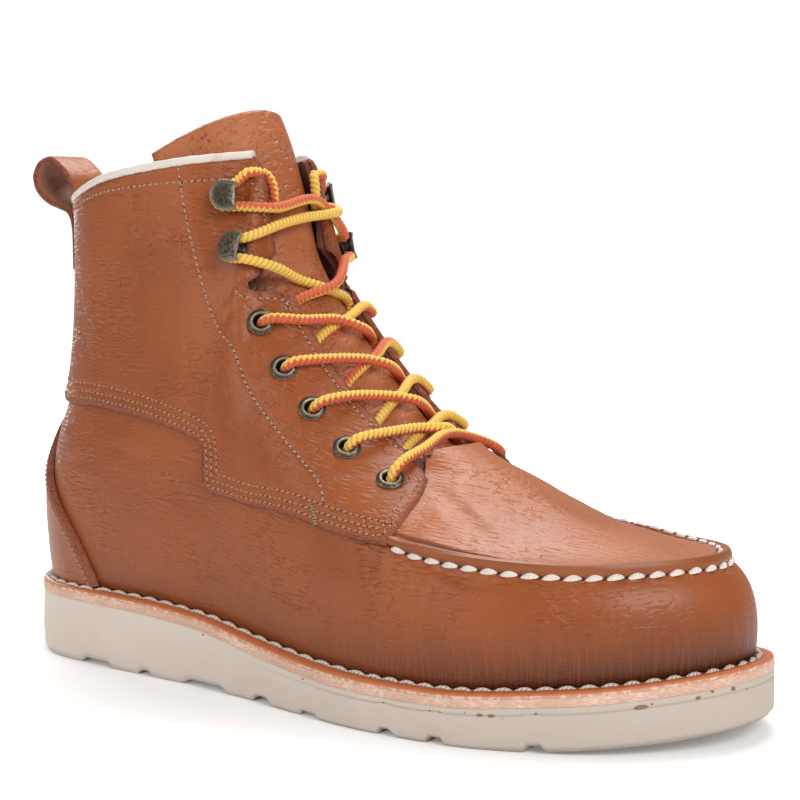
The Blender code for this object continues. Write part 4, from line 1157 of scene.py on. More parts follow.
def across_sole(name, inset, top, low, side_shape, finish, node, marks_of=None):
    """Layer of the sole: stations from heel to toe, each a ring over the top, down one side and back.

    side_shape gives how far a side point stands out for its share from top (0) to bottom (1).
    """
    place = np.linspace(0, 1, SOLE_STATIONS)
    lateral, lateral_out = outline(place / 2, inset)
    medial, medial_out = outline(1 - place / 2, inset)
    medial[[0, -1]] = lateral[[0, -1]]
    over = np.linspace(0, 1, 7)[1:-1]
    down = np.linspace(0, 1, 25)
    under = np.linspace(0, 1, 33)[1:-1]
    share = np.concatenate([over * 0, down, under * 0 + 1, down[::-1]])

    def side_rows(point, out, order):
        """Points of one side, from top to bottom in a given order."""
        stand = side_shape(point[:, 0][:, None], order[None, :])
        flat = point[:, None, :] + out[:, None, :] * stand[..., None]
        z_top = top(flat[..., 0], flat[..., 1])
        z_low = low(flat[..., 0], flat[..., 1])
        return np.concatenate([flat, (z_top + (z_low - z_top) * order)[..., None]], -1)

    right = side_rows(medial, medial_out, down)
    left = side_rows(lateral, lateral_out, down[::-1])
    right[[0, -1]] = left[[0, -1], ::-1]

    def bridge(a, b, parts, height):
        """Points between two sides at a height."""
        flat = a[:, None, :2] + (b - a)[:, None, :2] * parts[None, :, None]
        return np.concatenate([flat, height(flat[..., 0], flat[..., 1])[..., None]], -1)

    rings = np.concatenate([bridge(left[:, -1], right[:, 0], over, top), right,
                            bridge(right[:, -1], left[:, 0], under, low), left], axis=1)
    shape = rings.shape[:2]
    marks = None if marks_of is None else marks_of(rings, np.broadcast_to(share, shape))
    make_piece(name, rings, cells(*shape, ring=True), finish, [node], flow=rings[..., [0, 2]],
               marks=marks, weld=True)


def tread(x, y):
    """Underside: floor line, cross grooves with soft flanks that wander a little, a rounded heel edge."""
    z = floor_line(x)
    wander = 1.1 * np.sin(0.11 * y + 0.02 * x) + 0.5 * np.sin(0.37 * y)
    for middle, half, depth in GROOVES:
        inside = smooth(0, 0.42 * half, half - np.abs(x - middle + wander * 0.5))
        z = z + depth * inside
    return z + 2.0 * np.clip(1 - x / 5.0, 0, 1) ** 2


def build_sole():
    """Outsole, midsole and welt, each at its own height under the welt line."""
    mid_drop = WELT_THICK + 0.02
    sole_drop = mid_drop + MIDSOLE_THICK + 2 * LAYER_GAP

    def wedge_side(x, share):
        """Stand of the rubber's side: rounded low edge, fine line, swell and ripple."""
        edge = -1.1 * smooth(0.90, 1.0, share) - 0.25 * (1 - smooth(0.0, 0.03, share))
        line = -0.30 * np.exp(-((share - 0.16) / 0.016) ** 2) * smooth(120, 200, x)
        swell = 0.35 * np.sin(math.pi * share)
        ripple = 0.08 * np.sin(0.21 * x + 9 * share) + 0.06 * np.sin(0.57 * x)
        return edge + line + swell + ripple - 0.35

    def wedge_marks(rings, share):
        """Marks of the rubber: band under its top, tread and fine line."""
        x = rings[..., 0]
        under = smooth(0.93, 1.0, share) * (rings[..., 2] < 6 + floor_line(x))
        rim = smooth(0.0, 0.03, share) * (1 - smooth(0.16, 0.28, share)) * smooth(150, 220, x)
        line = np.exp(-((share - 0.16) / 0.020) ** 2) * smooth(120, 200, x)
        return {"rim": rim, "tread": under, "line": line}

    rows = []
    for u, drop, long, tall in GLUE_SPECKS:
        half = 0.5 * long / np.linalg.norm(outline_point(u + 0.001) - outline_point(u - 0.001)) * 0.002
        places = np.linspace(u - half, u + half, 9)
        flat, out = outline(places, 0.50)
        path = np.column_stack([flat, welt_top(flat[:, 0]) - sole_drop - drop])
        rows.append((path, np.column_stack([out, 0 * places]), long, 1.0, tall, 0.22 * tall))
    sew("glue_specks", rows, GLUE)
    across_sole("wedge_outsole", 0.0, lambda x, y: welt_top(x) - sole_drop, tread, wedge_side, RUBBER,
                "outsole", wedge_marks)

    def mid_side(x, share):
        """Stand of the midsole's side: a low swell with rough fibres."""
        rough = 0.10 * np.sin(1.9 * x + 3 * share) + 0.08 * np.sin(4.3 * x)
        return 0.30 * np.sin(math.pi * share) + rough * 0.6 - 0.1

    across_sole("fibre_midsole", 0.2, lambda x, y: welt_top(x) - mid_drop,
                lambda x, y: welt_top(x) - sole_drop + 0.02, mid_side, FIBRE, "midsole")
    build_welt()


def welt_groove(place):
    """Distance of the welt's stitch line in from the edge of the sole; it steps out round the backstay."""
    return curve(place, LEDGE) - 1.25 - 2.7 * (1 - smooth(0.250, 0.285, place))


def build_welt():
    """Welt ring: a profile from under the upper, over the stitch groove and the bevel, to the cut edge."""
    count = 520
    u = np.arange(count) / count
    place, _ = sides(u)
    ledge = curve(place, LEDGE)
    groove = welt_groove(place)
    profile = [(ledge + UPPER_WALL + 1.6, 0.0), (ledge + 0.3, 0.0), (groove + 0.9, -0.15), (groove, -0.45),
               (groove - 0.8, -0.10), (groove - 1.2, 0.10), (0.56 * groove, 0.10), (np.full(count, 1.5), 0.0),
               (np.full(count, 0.75), -0.35), (np.full(count, 0.42), -0.8), (np.full(count, 0.32), -1.0),
               (np.full(count, 0.28), -1.25), (np.full(count, 0.35), -WELT_THICK),
               (ledge + UPPER_WALL + 1.6, -WELT_THICK)]
    edge_values = (0, 0, 0, 0, 0, 0, 0, 0.0, 0.0, 0.1, 0.6, 1, 1, 1)
    # Painted shade, row by row: dark under the upper, fading out towards the stitch groove
    deep_values = (1, 0.7, 0.35, 0.1, 0.0, 0, 0, 0, 0, 0, 0, 0, 0, 0)
    rows = []
    for inset, height in profile:
        flat, _ = outline(u, inset + 0.04 * np.sin(u * 900))
        rows.append(np.column_stack([flat, welt_top(flat[:, 0]) + height]))
    points = np.stack(rows)
    points = np.concatenate([points, points[:1]])
    shape = points.shape[:2]
    edge = np.broadcast_to(np.array(edge_values + (0,), float)[:, None], shape)
    deep = np.broadcast_to(np.array(deep_values + (1,), float)[:, None], shape)
    make_piece("stitched_welt", points, cells(*shape, ring=True)[:, ::-1], WELT, ["welt"],
               flow=grid_flow(points), marks={"edge": edge, "deep": deep}, weld=True)
    rows = []
    for first, last, pitch in WELT_RUNS:
        fine = np.linspace(first, last, 900)
        flat, _ = outline(fine, welt_groove(sides(fine)[0]))
        path = np.column_stack([flat, welt_top(flat[:, 0]) - 0.05])
        rows.append((path, np.tile((0.0, 0.0, 1.0), (len(path), 1)), pitch, *WELT_STITCH))
    sew("welt_stitches", rows, WELT_THREAD)


# Upper


def fastener_spots(medial):
    """Centre on the upper's face and outward direction of each eyelet and hook of a side."""
    spots = np.array(EYELETS + HOOKS)
    u = loop_of(spots[:, 0], medial)
    return skin(u, spots[:, 1]), skin_out(u, spots[:, 1])


def holes_in(points, radius):
    """Points within a radius of the axis of any eyelet."""
    found = np.zeros(points.shape[:-1], bool)
    for medial in (False, True):
        centres, outs = fastener_spots(medial)
        for centre, out in zip(centres[:len(EYELETS)], outs):
            away = points - centre
            height = away @ out
            aside = np.linalg.norm(away - height[..., None] * out, axis=-1)
            found |= (aside < radius) & (np.abs(height) < 8)
    return found


NOTCH_LINE = eased(np.column_stack([NOTCH[[4, 5, 6, 7, 0, 1, 2, 3]], np.zeros(8)]), 160, 40)[:, :2]


def in_outline(aside, height):
    """Points inside the closed notch outline, by counting the edges to one side of them."""
    inside = np.zeros(aside.shape, bool)
    for (ax, az), (bx, bz) in zip(NOTCH_LINE, np.roll(NOTCH_LINE, -1, axis=0)):
        if az != bz:
            spans = (az > height) != (bz > height)
            inside ^= spans & (aside < (bx - ax) * (height - az) / (bz - az) + ax)
    return inside


def cut_notch(outer, inner, keep):
    """Take the notch out of a sheet: drop its cells and draw the corners left beside it onto its outline."""
    middle = float(curve(NOTCH_MIDDLE, THROAT_LINE))
    aside = np.abs(outer[..., 1] - middle)
    height = outer[..., 2]
    inside = in_outline(aside, height) & (outer[..., 0] > 95) & (outer[..., 0] < 140)
    drop = (inside[:-1, :-1].astype(int) + inside[1:, :-1] + inside[:-1, 1:] + inside[1:, 1:]) >= 2
    keep = keep & ~drop

    def corners_of(chosen):
        """Points at the corners of the chosen cells."""
        corner = np.zeros(inside.shape, bool)
        for rows in (slice(None, -1), slice(1, None)):
            for cols in (slice(None, -1), slice(1, None)):
                corner[rows, cols] |= chosen
        return corner

    border = corners_of(drop) & corners_of(keep)
    flat = np.stack([aside, height, 0 * aside], -1)[border]
    _, where = distance(flat, np.column_stack([NOTCH_LINE, np.zeros(len(NOTCH_LINE))]))
    goal = NOTCH_LINE[where]
    goal[:, 0] = middle + np.sign(outer[border][:, 1] - middle) * goal[:, 0]
    for sheet in (outer, inner):
        sheet[border] = np.column_stack([sheet[border][:, 0], goal])
    return keep


def build_upper():
    """Vamp and heel wall below the quarters: the skin with creases, seam puckers and welt pull."""
    columns = 420
    level = np.concatenate([np.linspace(0, 0.46, 62), np.linspace(0.46, 0.5, 12)[1:],
                            np.linspace(0.5, 0.6, 8)[1:]])
    u, v = np.meshgrid(np.arange(columns) / columns, level)
    place, _ = sides(u)
    height = creased(u, v)
    seam_run = run_of(skin(u[0], np.full(columns, LIP_LEVEL)))
    toe = smooth(0.60, 0.64, place)
    pucker = np.cos(2 * math.pi * seam_run / 6.4)[None, :] * np.exp(-((v - 0.470) / 0.022) ** 2)
    height = height + toe * (0.28 * pucker - 0.8 * smooth(0.475, 0.492, v))
    height = height - 0.5 * (1 - smooth(0.0, 0.02, v))
    outer = layer(u, v, height)
    rise = outer[..., 2] - outer[:1, :, 2]
    # Painted shade: darker towards the welt, all round and most at the toe
    low = np.clip(1 - rise / 24.0, 0, 1) ** 1.3 * (0.30 + 0.70 * smooth(0.45, 0.75, place))
    toe_smooth = 1 - 0.55 * smooth(0.72, 0.95, place) * (1 - smooth(0.38, 0.47, v))
    grain = (0.30 + 0.70 * smooth(6, 22, rise)) * toe_smooth
    make_sheet("vamp", outer, layer(u, v, -0.55 * UPPER_WALL), VAMP, "upper", skin_flow(u, v), ring=True,
               low=low, edge=0.0, grain=grain)


def build_lining():
    """Inside of the boot: flesh side of the leather, behind the quarters up to the rim."""
    columns = 300
    level = np.concatenate([np.linspace(0, 0.6, 22), np.linspace(0.6, 1, 52)[1:]])
    u, v = np.meshgrid(np.arange(columns) / columns, level)
    outer = layer(u, v, -0.62 * UPPER_WALL + 0.60 * UPPER_WALL * smooth(0.605, 0.64, v))
    inner = layer(u, v, -UPPER_WALL)
    inner[0, :, 2] = outer[0, :, 2]
    inner[-1, :, 2] = np.minimum(inner[-1, :, 2], outer[-1, :, 2] + 0.2)
    keep = ~holes_in(cell_points(outer), HOLE_CUT)
    keep = cut_notch_ring(outer, inner, keep)
    make_sheet("lining", outer, inner, LINING, "upper", keep=keep, ring=True)


def cell_points(points, ring=True):
    """Middle of each cell of a grid."""
    if ring:
        points = np.concatenate([points, points[:, :1]], axis=1)
    return 0.25 * (points[:-1, :-1] + points[1:, :-1] + points[:-1, 1:] + points[1:, 1:])


def cut_notch_ring(outer, inner, keep):
    """The notch taken out of a ring sheet; it lies away from the ring's joint."""
    kept = cut_notch(outer, inner, keep[:, :-1])
    return np.concatenate([kept, keep[:, -1:]], axis=1)


def finished_edge(u, v, top, line, drop=0.9, relief=0.0):
    """Outer face of a panel with its cut edge rounded over, and the edge mark.

    The face falls by a quarter circle within a radius of the edge line, behind a low lip.
    """
    away, _ = distance(layer(u, v, top), line)
    t = np.clip(1 - away / EDGE_RADIUS, 0, 1)
    fall = drop * (1 - np.sqrt(1 - t ** 2))
    edge = 1 - smooth(0.70 * EDGE_RADIUS, 1.05 * EDGE_RADIUS, away)
    return layer(u, v, top - fall + edge_lip(away) + relief), edge


def edge_lip(away):
    """Height of the low lip behind a cut edge."""
    return 0.25 * np.exp(-((away - 1.5 * EDGE_RADIUS) / (0.8 * EDGE_RADIUS)) ** 2)


def quarter_grid(medial):
    """Grid of a quarter: columns of places, each from the stepped low edge to the rim."""
    columns = np.concatenate([np.linspace(0.049, 0.384, 84), np.linspace(0.386, 0.424, 44),
                              np.linspace(0.4265, QUARTER_CORNER, 78)])
    share = np.concatenate([[0, 0.003, 0.007, 0.013, 0.021], np.linspace(0.031, 0.97, 86),
                            [0.979, 0.987, 0.993, 0.997, 1.0]])
    low = curve(columns, QUARTER_LOW)
    high = curve(columns, np.array([(0.0, 1.0), (0.55, 1.0), (0.575, 0.995), (QUARTER_CORNER, 0.88)]))
    level = low[None, :] + share[:, None] * (high - low)[None, :]
    pull = np.clip((columns - 0.55) / (QUARTER_CORNER - 0.55), 0, 1) ** 2
    place = columns[None, :] + pull[None, :] * (curve(level, QUARTER_FRONT) - QUARTER_CORNER)
    if medial:
        place, level = place[:, ::-1], level[:, ::-1]
    return loop_of(place, medial), level


def inset_path(u, v, away):
    """Row of surface places at a distance in from an edge row, by the surface's own slopes.

    Each place moves square to the edge; places that come nearer to another stretch are left out.
    """
    small = 0.0005
    point = skin(u, v)
    by_u = (skin(u + small, v) - skin(u - small, v)) / (2 * small)
    by_v = (skin(u, v + small) - skin(u, v - small)) / (2 * small)
    inward = unit(np.cross(unit(np.cross(by_u, by_v)), heading(point))) * away
    pairs = ((by_u, by_u), (by_v, by_v), (by_u, by_v), (by_u, inward), (by_v, inward))
    uu, vv, uv, iu, iv = [(first * second).sum(-1) for first, second in pairs]
    det = uu * vv - uv * uv
    new_u = u + (iu * vv - iv * uv) / det
    new_v = np.clip(v + (iv * uu - iu * uv) / det, 0, 1)
    good = distance(skin(new_u, new_v), point)[0] > 0.97 * abs(away)
    return new_u[good], new_v[good]


def even_places(u, v, count=500, passes=10):
    """Surface places at even steps along a row of places, with small corners rounded."""
    point = skin(u, v)
    at = np.linspace(0, run_of(point)[-1], count)
    places = averaged(along(point, at, np.stack([u, v], -1)), passes)
    return places[:, 0], places[:, 1]


def table_places(table, medial):
    """Surface places along a smooth line through a table of place and level."""
    dense = np.linspace(0, len(table) - 1, 300)
    order = np.column_stack([np.arange(len(table)), table])
    return loop_of(curve(dense, order, 1), medial), curve(dense, order, 2)


def places_at(line, medial):
    """Surface places of the facing along a line given by distance from the throat line and height."""
    place, level = np.meshgrid(np.linspace(0.40, 0.54, 200), np.linspace(0.68, 1.0, 180))
    point = layer(loop_of(place, medial), level, QUARTER_TOP)
    flat = np.stack([np.abs(point[..., 1] - curve(NOTCH_MIDDLE, THROAT_LINE)), point[..., 2], 0 * place], -1)
    _, where = distance(np.column_stack([line, 0 * line[:, 0]]), flat.reshape(-1, 3))
    return loop_of(place.ravel()[where], medial), level.ravel()[where]


def quarter_rows(medial):
    """Thread rows of a quarter as surface places: three low rows, the rows in bone thread, and the tack."""
    inwards = -1.0 if medial else 1.0
    low_place = np.concatenate([np.linspace(0.052, 0.385, 200), np.linspace(0.386, 0.424, 160),
                                np.linspace(0.425, QUARTER_CORNER - 0.002, 150)])
    low = np.column_stack([low_place, curve(low_place, QUARTER_LOW)])
    level = np.linspace(0.482, 0.875, 80)
    front = np.column_stack([curve(level, QUARTER_FRONT), level])
    tan_rows, bone_rows = [], []
    for number, away in enumerate(QUARTER_ROWS):
        edge = low if number == 2 else np.concatenate([low, front])
        row = inset_path(loop_of(edge[:, 0], medial), edge[:, 1], inwards * away)
        tan_rows.append(even_places(*row, 900))
    for first, last in ((0.632, 0.503), (0.462, 0.428)):
        edge = loop_of(np.linspace(first, last, 120), medial)
        bone_rows.append(even_places(*inset_path(edge, np.full(120, 0.992), inwards * 3.0)))
    ring = even_places(*places_at(NOTCH_LINE[50:146], medial), 160, 12)
    bone_rows.append(even_places(*inset_path(*ring, -inwards * 2.7), 200, 8))
    bone_rows += [even_places(*table_places(table, medial)) for table in (FACING_ROW, COLLAR_ROW)]
    return tan_rows, bone_rows, even_places(*table_places(BARTACK, medial), 60)


def quarter_relief(u, v, rows):
    """Height of a quarter's face over its plain face: creases and a furrow along each thread row."""
    plain = layer(u, v, QUARTER_TOP)
    relief = creased(u, v)
    for row in rows:
        line = layer(*row, QUARTER_TOP)[::3]
        relief = relief - 0.26 * np.exp(-(distance(plain, line)[0] / 0.85) ** 2)
    return relief


def build_quarter(medial):
    """Side panel: rounded dark edge, a shallow furrow under each stitch row, eyelet holes and notch."""
    side = SIDES[medial]
    u, v = quarter_grid(medial)
    plain = layer(u, v, QUARTER_TOP)
    line = np.concatenate([plain[0], plain[:, 0 if medial else -1], plain[-1][::2]])
    tan_rows, bone_rows, tack = quarter_rows(medial)
    relief = quarter_relief(u, v, tan_rows + bone_rows + [tack])
    outer, edge = finished_edge(u, v, QUARTER_TOP, line, relief=relief)
    notch = layer(*places_at(NOTCH_LINE, medial), QUARTER_TOP)
    edge = np.maximum(edge, 1 - smooth(1.1, 2.0, distance(outer, notch)[0]))
    brim = plain[-1][np.abs(plain[-1][:, 0] - 150) < 48]
    edge = np.maximum(edge, 0.85 * (1 - smooth(1.2, 2.2, distance(plain, brim)[0])))
    inner = layer(u, v, LAYER_GAP)
    keep = cut_notch(outer, inner, ~holes_in(cell_points(outer, ring=False), HOLE_CUT))
    make_sheet(f"quarter_panel_{side}", outer, inner, QUARTER, f"quarter_{side}", skin_flow(u, v), keep,
               edge=(edge, 1.0), grain=1.0)

    def laid(row, stitch):
        """Stitch row on the panel's own face."""
        away = distance(layer(*row, QUARTER_TOP), line)[0]
        height = QUARTER_TOP + quarter_relief(*row, [row]) + edge_lip(away)
        return layer(*row, height), skin_out(*row), *stitch

    tan = [laid(row, PANEL_STITCH) for row in tan_rows]
    bone = [laid(row, PANEL_STITCH) for row in bone_rows]
    sew("quarter_rows_" + side, tan, TAN_THREAD, PANEL_HOLE)
    sew("facing_rows_" + side, bone + [laid(tack, TACK_STITCH)], BONE_THREAD, PANEL_HOLE)


def build_backstay():
    """Panel up the back: half width by level, rounded dark edges, one stitch row along each edge."""
    level = np.concatenate([np.linspace(0.004, 0.16, 26), np.linspace(0.17, 1.0, 74)])
    across = np.concatenate([[-1, -0.985, -0.965, -0.94], np.linspace(-0.9, 0.9, 61),
                             [0.94, 0.965, 0.985, 1]])
    half = curve(level, BACKSTAY_EDGE) - 0.0025
    u = half[:, None] * across[None, :] / 2
    v = np.repeat(level[:, None], len(across), axis=1)
    plain = layer(u, v, BACKSTAY_TOP)
    line = np.concatenate([plain[:, 0], plain[:, -1]])
    outer, edge = finished_edge(u, v, BACKSTAY_TOP, line, drop=1.2)
    make_sheet("backstay_panel", outer, layer(u, v, LAYER_GAP), QUARTER, "backstay", skin_flow(u, v),
               edge=(edge, 1.0), grain=0.7)
    rows = []
    for column, inwards in ((0, -1.0), (-1, 1.0)):
        places = even_places(*inset_path(u[:, column], v[:, column], inwards * 2.8))
        rows.append((layer(*places, BACKSTAY_TOP + 0.22), skin_out(*places), *PANEL_STITCH))
    sew("backstay_rows", rows, TAN_THREAD, BACKSTAY_HOLE)


def build_apron():
    """Toe plug: a smooth lip that stands on the seam, a fold line behind it, then the crowned top.

    Columns run round the toe between the quarters, which lie on its two ends; rows climb the lip
    and cross to the throat.  The plug grows thin towards the quarters.
    """
    half = np.concatenate([np.linspace(QUARTER_CORNER - 0.006, 0.69, 40), np.linspace(0.692, 1.0, 100)])
    top = np.array([(0.59, 0.97), (QUARTER_CORNER, 0.97), (0.655, 1.0), (0.7, 1.0), (1.0, 1.0)])
    top = curve(half, top) - 0.004
    share = np.concatenate([np.linspace(0, 0.10, 22), np.linspace(0.10, 1, 74)[1:]])
    level = 0.5 + share[:, None] * (top - 0.5)[None, :]
    pull = np.clip((0.69 - half) / (0.69 - QUARTER_CORNER), 0, 1) ** 1.5
    place = half[None, :] + pull[None, :] * (curve(level, QUARTER_FRONT) - QUARTER_CORNER)
    u = np.concatenate([place / 2, (1 - place / 2)[:, ::-1][:, 1:]], axis=1)
    v = np.concatenate([level, level[:, ::-1][:, 1:]], axis=1)
    front = np.linspace(0.44, 0.90, 120)
    ends = [skin(loop_of(curve(front, QUARTER_FRONT), medial), front) for medial in (False, True)]
    plain = skin(u, v)
    clear, _ = distance(plain, np.concatenate(ends))
    thick = APRON_THICK * (0.30 + 0.70 * smooth(0.5, 13.0, clear))
    away = np.linalg.norm(plain - plain[0], axis=-1)
    crown = 0.9 * smooth(4, 30, away) * (1 - smooth(0.75, 1.0, (v - 0.5) * 2)) * smooth(2, 16, clear)
    ridge = 0.55 + 0.45 * smooth(1, 14, clear[0])[None, :]
    fold = -1.05 * np.exp(-((away - 3.1) / 0.70) ** 2)
    rim_up = 1.05 * np.exp(-((away - 0.6) / 1.5) ** 2)
    height = LAYER_GAP + thick + crown + ridge * (fold + rim_up) + creased(u, v) * smooth(3, 6, away)
    face = layer(u, v, height)
    foot_level = np.full(u.shape[1], LIP_LEVEL)
    foot = skin(u[0], foot_level) + skin_out(u[0], foot_level) * 0.15
    lip_share = np.linspace(0, 1, 12)[:-1, None, None]
    out = unit(skin_out(u[0], np.full(u.shape[1], 0.45)) * (1.0, 1.0, 0.2))
    lip = foot + (face[0] - foot) * lip_share + out * 0.6 * np.sin(math.pi * lip_share)
    outer = np.concatenate([lip, face])
    inner = np.concatenate([skin(u[0], np.full(u.shape[1], 0.5)) + 0 * lip, layer(u, v, LAYER_GAP)])
    aside = np.hypot(outer[..., 1] - curve(outer[..., 0], THROAT_LINE), 16.0)
    flow = np.stack([0.8 * outer[..., 0] - 0.6 * aside, 1.2 * outer[..., 2] - 0.6 * aside], -1)
    # Painted shade by the low mark: on the lip, and in the fold line behind it
    behind = np.maximum(0.95 * np.exp(-((away - 3.6) / 0.75) ** 2), 0.60 * (1 - smooth(1.5, 3.4, away)))
    low = np.concatenate([0 * lip[..., 0] + 0.48, behind])
    edge = np.zeros(outer.shape[:2])
    edge[:2] = 0.8
    grain = (0.45 + 0.55 * (1 - smooth(25, 75, clear))) * smooth(2.6, 5.0, away)
    grain = np.concatenate([0 * lip[..., 0], grain]) + 0.12
    make_sheet("toe_plug", outer, inner, PLUG, "apron", flow, edge=edge, grain=grain, low=low)
    fine = np.linspace(0.6085, 1.0, 500)
    loop = np.concatenate([fine / 2, (1 - fine / 2)[::-1][1:]])
    places = even_places(loop, np.full(len(loop), LIP_LEVEL - 0.004), 1400, 4)
    outside = (layer(*places, 0.35), skin_out(*places), *SEAM_STITCH)
    row = int(np.argmin(np.abs(away[:, u.shape[1] // 2] - 2.4)))
    far = slice(u.shape[1] // 2 + 6, None)
    line = eased(face[row, far], 500, 2)
    lean = unit(skin_out(u[row, far], v[row, far]) * 0.6 + unit(face[row, far] - face[row - 3, far]) * 0.5)
    inside = (line, evenly(lean, 500), *INNER_SEAM_STITCH)
    sew("seam_stitches", [outside, inside], SEAM_THREAD, SEAM_HOLE)


def tongue_face(inward, row, across):
    """Face of the tongue moved inwards: each row an arc about the throat line, leaning with its tilt."""
    mx, mz, tilt, side, depth, spread, drop = [curve(row, TONGUE_ROWS, k)[:, None] for k in range(1, 8)]
    across = across[None, :]
    angle = np.radians(spread) * across
    y = (side - inward) * np.sin(angle)
    d = inward + (depth - inward) * (1 - np.cos(angle))
    tilt = np.radians(tilt)
    x = mx - np.sin(tilt) * d
    z = mz - np.cos(tilt) * d - drop * across ** 2
    middle = curve(mx, THROAT_LINE) * (1 - 0.6 * across ** 2)
    return np.stack([x + 0 * y, middle + y, z], -1)


def build_tongue():
    """Tongue: the arc surface with thin rounded edges, with painted shade where the facings cover it."""
    row = np.linspace(0, len(TONGUE) - 1, 130)
    across = np.linspace(-1, 1, 90)
    aside = np.abs(across)[None, :]
    up = row[:, None]
    thin = np.clip(smooth(0.955, 1.0, aside) + smooth(9.85, 10.0, up), 0, 1)[..., None]
    middle = tongue_face(0.5 * TONGUE_THICK, row, across)
    outer = tongue_face(0.0, row, across)
    outer = outer + (middle - outer) * thin
    inner = tongue_face(TONGUE_THICK, row, across)
    inner = inner + (middle - inner) * thin * 0.98
    edge = np.maximum(smooth(0.975, 0.995, aside), smooth(9.93, 9.98, up))
    # Painted shade on the tongue's sides, under the facings
    low = 0.9 * smooth(0.42, 0.72, aside) * (1 - smooth(7.0, 7.6, up)) * smooth(0.5, 1.0, up)
    make_sheet("tongue_flap", outer, inner, TONGUE_HIDE, "tongue", grid_flow(outer), slot="tongue",
               edge=edge, grain=1.0, low=low)


def build_binding():
    """Folded tape over the collar edge: a rounded section carried round the collar."""
    count = 260
    lateral, medial = BINDING_ENDS
    place = np.concatenate([np.linspace(lateral, 0.0, count), -np.linspace(0.0, medial, count)[1:]])
    u = place / 2
    rim = skin(u, np.ones(len(u)))
    out = skin_out(u, np.ones(len(u)))
    out[:, 2] = 0
    out = unit(out)
    middle = rim + out * 0.2
    turn = ring_angles(28)
    round_out = np.sign(np.cos(turn)) * np.abs(np.cos(turn)) ** 0.62
    round_up = np.sign(np.sin(turn)) * np.abs(np.sin(turn)) ** 0.75
    wave = 0.06 * np.sin(run_of(middle) * 0.9)
    ring = (middle[:, None] + out[:, None] * (round_out * BINDING_WIDE / 2)[None, :, None]
            + np.stack([0 * turn, 0 * turn, (0.5 + 0.5 * round_up) * BINDING_TALL - 0.7], -1)[None])
    ring = ring + np.array((0.0, 0.0, 1.0)) * wave[:, None, None]
    closed = capped(ring, ring[0].mean(axis=0), ring[-1].mean(axis=0))
    flow = np.stack(np.broadcast_arrays(run_of(closed[:, 0])[:, None], turn * 2.2), -1)
    make_piece("collar_tape", closed, cells(*closed.shape[:2], ring=True), TAPE,
               ["collar_binding"], flow=flow, weld=True)


def build_pull_loop():
    """Strap loop: a flat section with rounded edges carried along the loop's path."""
    count = 150
    path = rounded(np.column_stack([LOOP_PATH[:, 0], np.zeros(len(LOOP_PATH)), LOOP_PATH[:, 1]]), count)
    ahead = heading(path)
    out = np.column_stack([-ahead[:, 2], np.zeros(count), ahead[:, 0]])
    across = np.concatenate([[-1, -0.985, -0.95, -0.9], np.linspace(-0.82, 0.82, 19), [0.9, 0.95, 0.985, 1]])
    rim = np.clip((np.abs(across) - 0.86) / 0.14, 0, 1)
    fall = 0.5 * LOOP_THICK * (1 - np.sqrt(1 - rim ** 2))
    sides_at = []
    for sign in (1.0, -1.0):
        thick = sign * (LOOP_THICK / 2 - 0.92 * fall)
        points = path[:, None] + out[:, None] * thick[None, :, None]
        points = points + np.array((0.0, 1.0, 0.0)) * (across * LOOP_WIDE / 2)[None, :, None]
        sides_at.append(points)
    make_sheet("pull_strap", *sides_at, STRAP, "pull_loop", grid_flow(sides_at[0]),
               edge=smooth(0.88, 0.95, np.abs(across)), grain=0.7, flesh=(1.0, 0.0))


# Fasteners


def seat(place, level, medial, centre, out, radius):
    """Height at which a flat flange of a radius clears the quarter under it."""
    du, dv = np.meshgrid(np.linspace(-0.03, 0.03, 25), np.linspace(-0.09, 0.09, 25))
    u = loop_of(place, medial) + du
    v = np.clip(level + dv, 0, 1)
    away = layer(u, v, QUARTER_TOP) - centre
    height = away @ out
    aside = np.linalg.norm(away - height[..., None] * out, axis=-1)
    return float(height[aside < radius + 0.5].max()) + 0.3


def axes_of(out):
    """Two directions square to an axis, the second as near to upwards as can be."""
    ahead = unit(np.cross((0.0, 0.0, 1.0), out))
    return ahead, np.cross(out, ahead)


def turned(profile, centre, out, segments, reach=1.0):
    """Body of revolution from rows of radius, height, cut and wear: points, faces and wear of the points.

    reach scales the radius of the cut rows by angle.
    """
    ahead, up = axes_of(out)
    turn = ring_angles(segments)[:, None]
    ray = ahead * np.cos(turn) + up * np.sin(turn)
    radius, height, cut, wear_and_highlight = np.array(profile, float).T[..., None]
    radius = radius * np.where(cut > 0, reach, np.ones(segments))
    points = centre + ray * radius[..., None] + out * height[..., None]
    return points, cells(*points.shape[:2], ring=True)[:, ::-1], np.repeat(wear_and_highlight, segments)


def eyelet_profile(at):
    """Section of an eyelet seated at a height: barrel, rolled flange and back."""
    inside = -UPPER_WALL - 0.6
    lift = EYELET_LIFT + 0.25
    return [
        # radius, height, cut, wear
        (EYELET_HOLE, inside, 0, 0.0),
        (EYELET_HOLE, at - 0.2, 0, 0.0),
        (EYELET_HOLE + 0.05, at + 0.55 * lift, 0, 0.2),
        (EYELET_HOLE + 0.30, at + 0.90 * lift, 0, 0.7),
        (EYELET_HOLE + 0.65, at + lift, 0, 0.9),
        (EYELET_HOLE + 1.05, at + 0.93 * lift, 0, 0.4),
        (EYELET_FLANGE - 0.75, at + 0.62 * lift, 0, 0.0),
        (EYELET_FLANGE - 0.25, at + 0.42 * lift, 0, 0.1),
        (EYELET_FLANGE, at + 0.15 * lift, 0, 0.5),
        (EYELET_FLANGE - 0.1, at - 0.3, 0, 0.0),
        (EYELET_BARREL + 0.3, at - 0.4, 0, 0.0),
        (EYELET_BARREL, inside, 0, 0.0),
        (EYELET_HOLE, inside, 0, 0.0),
    ]


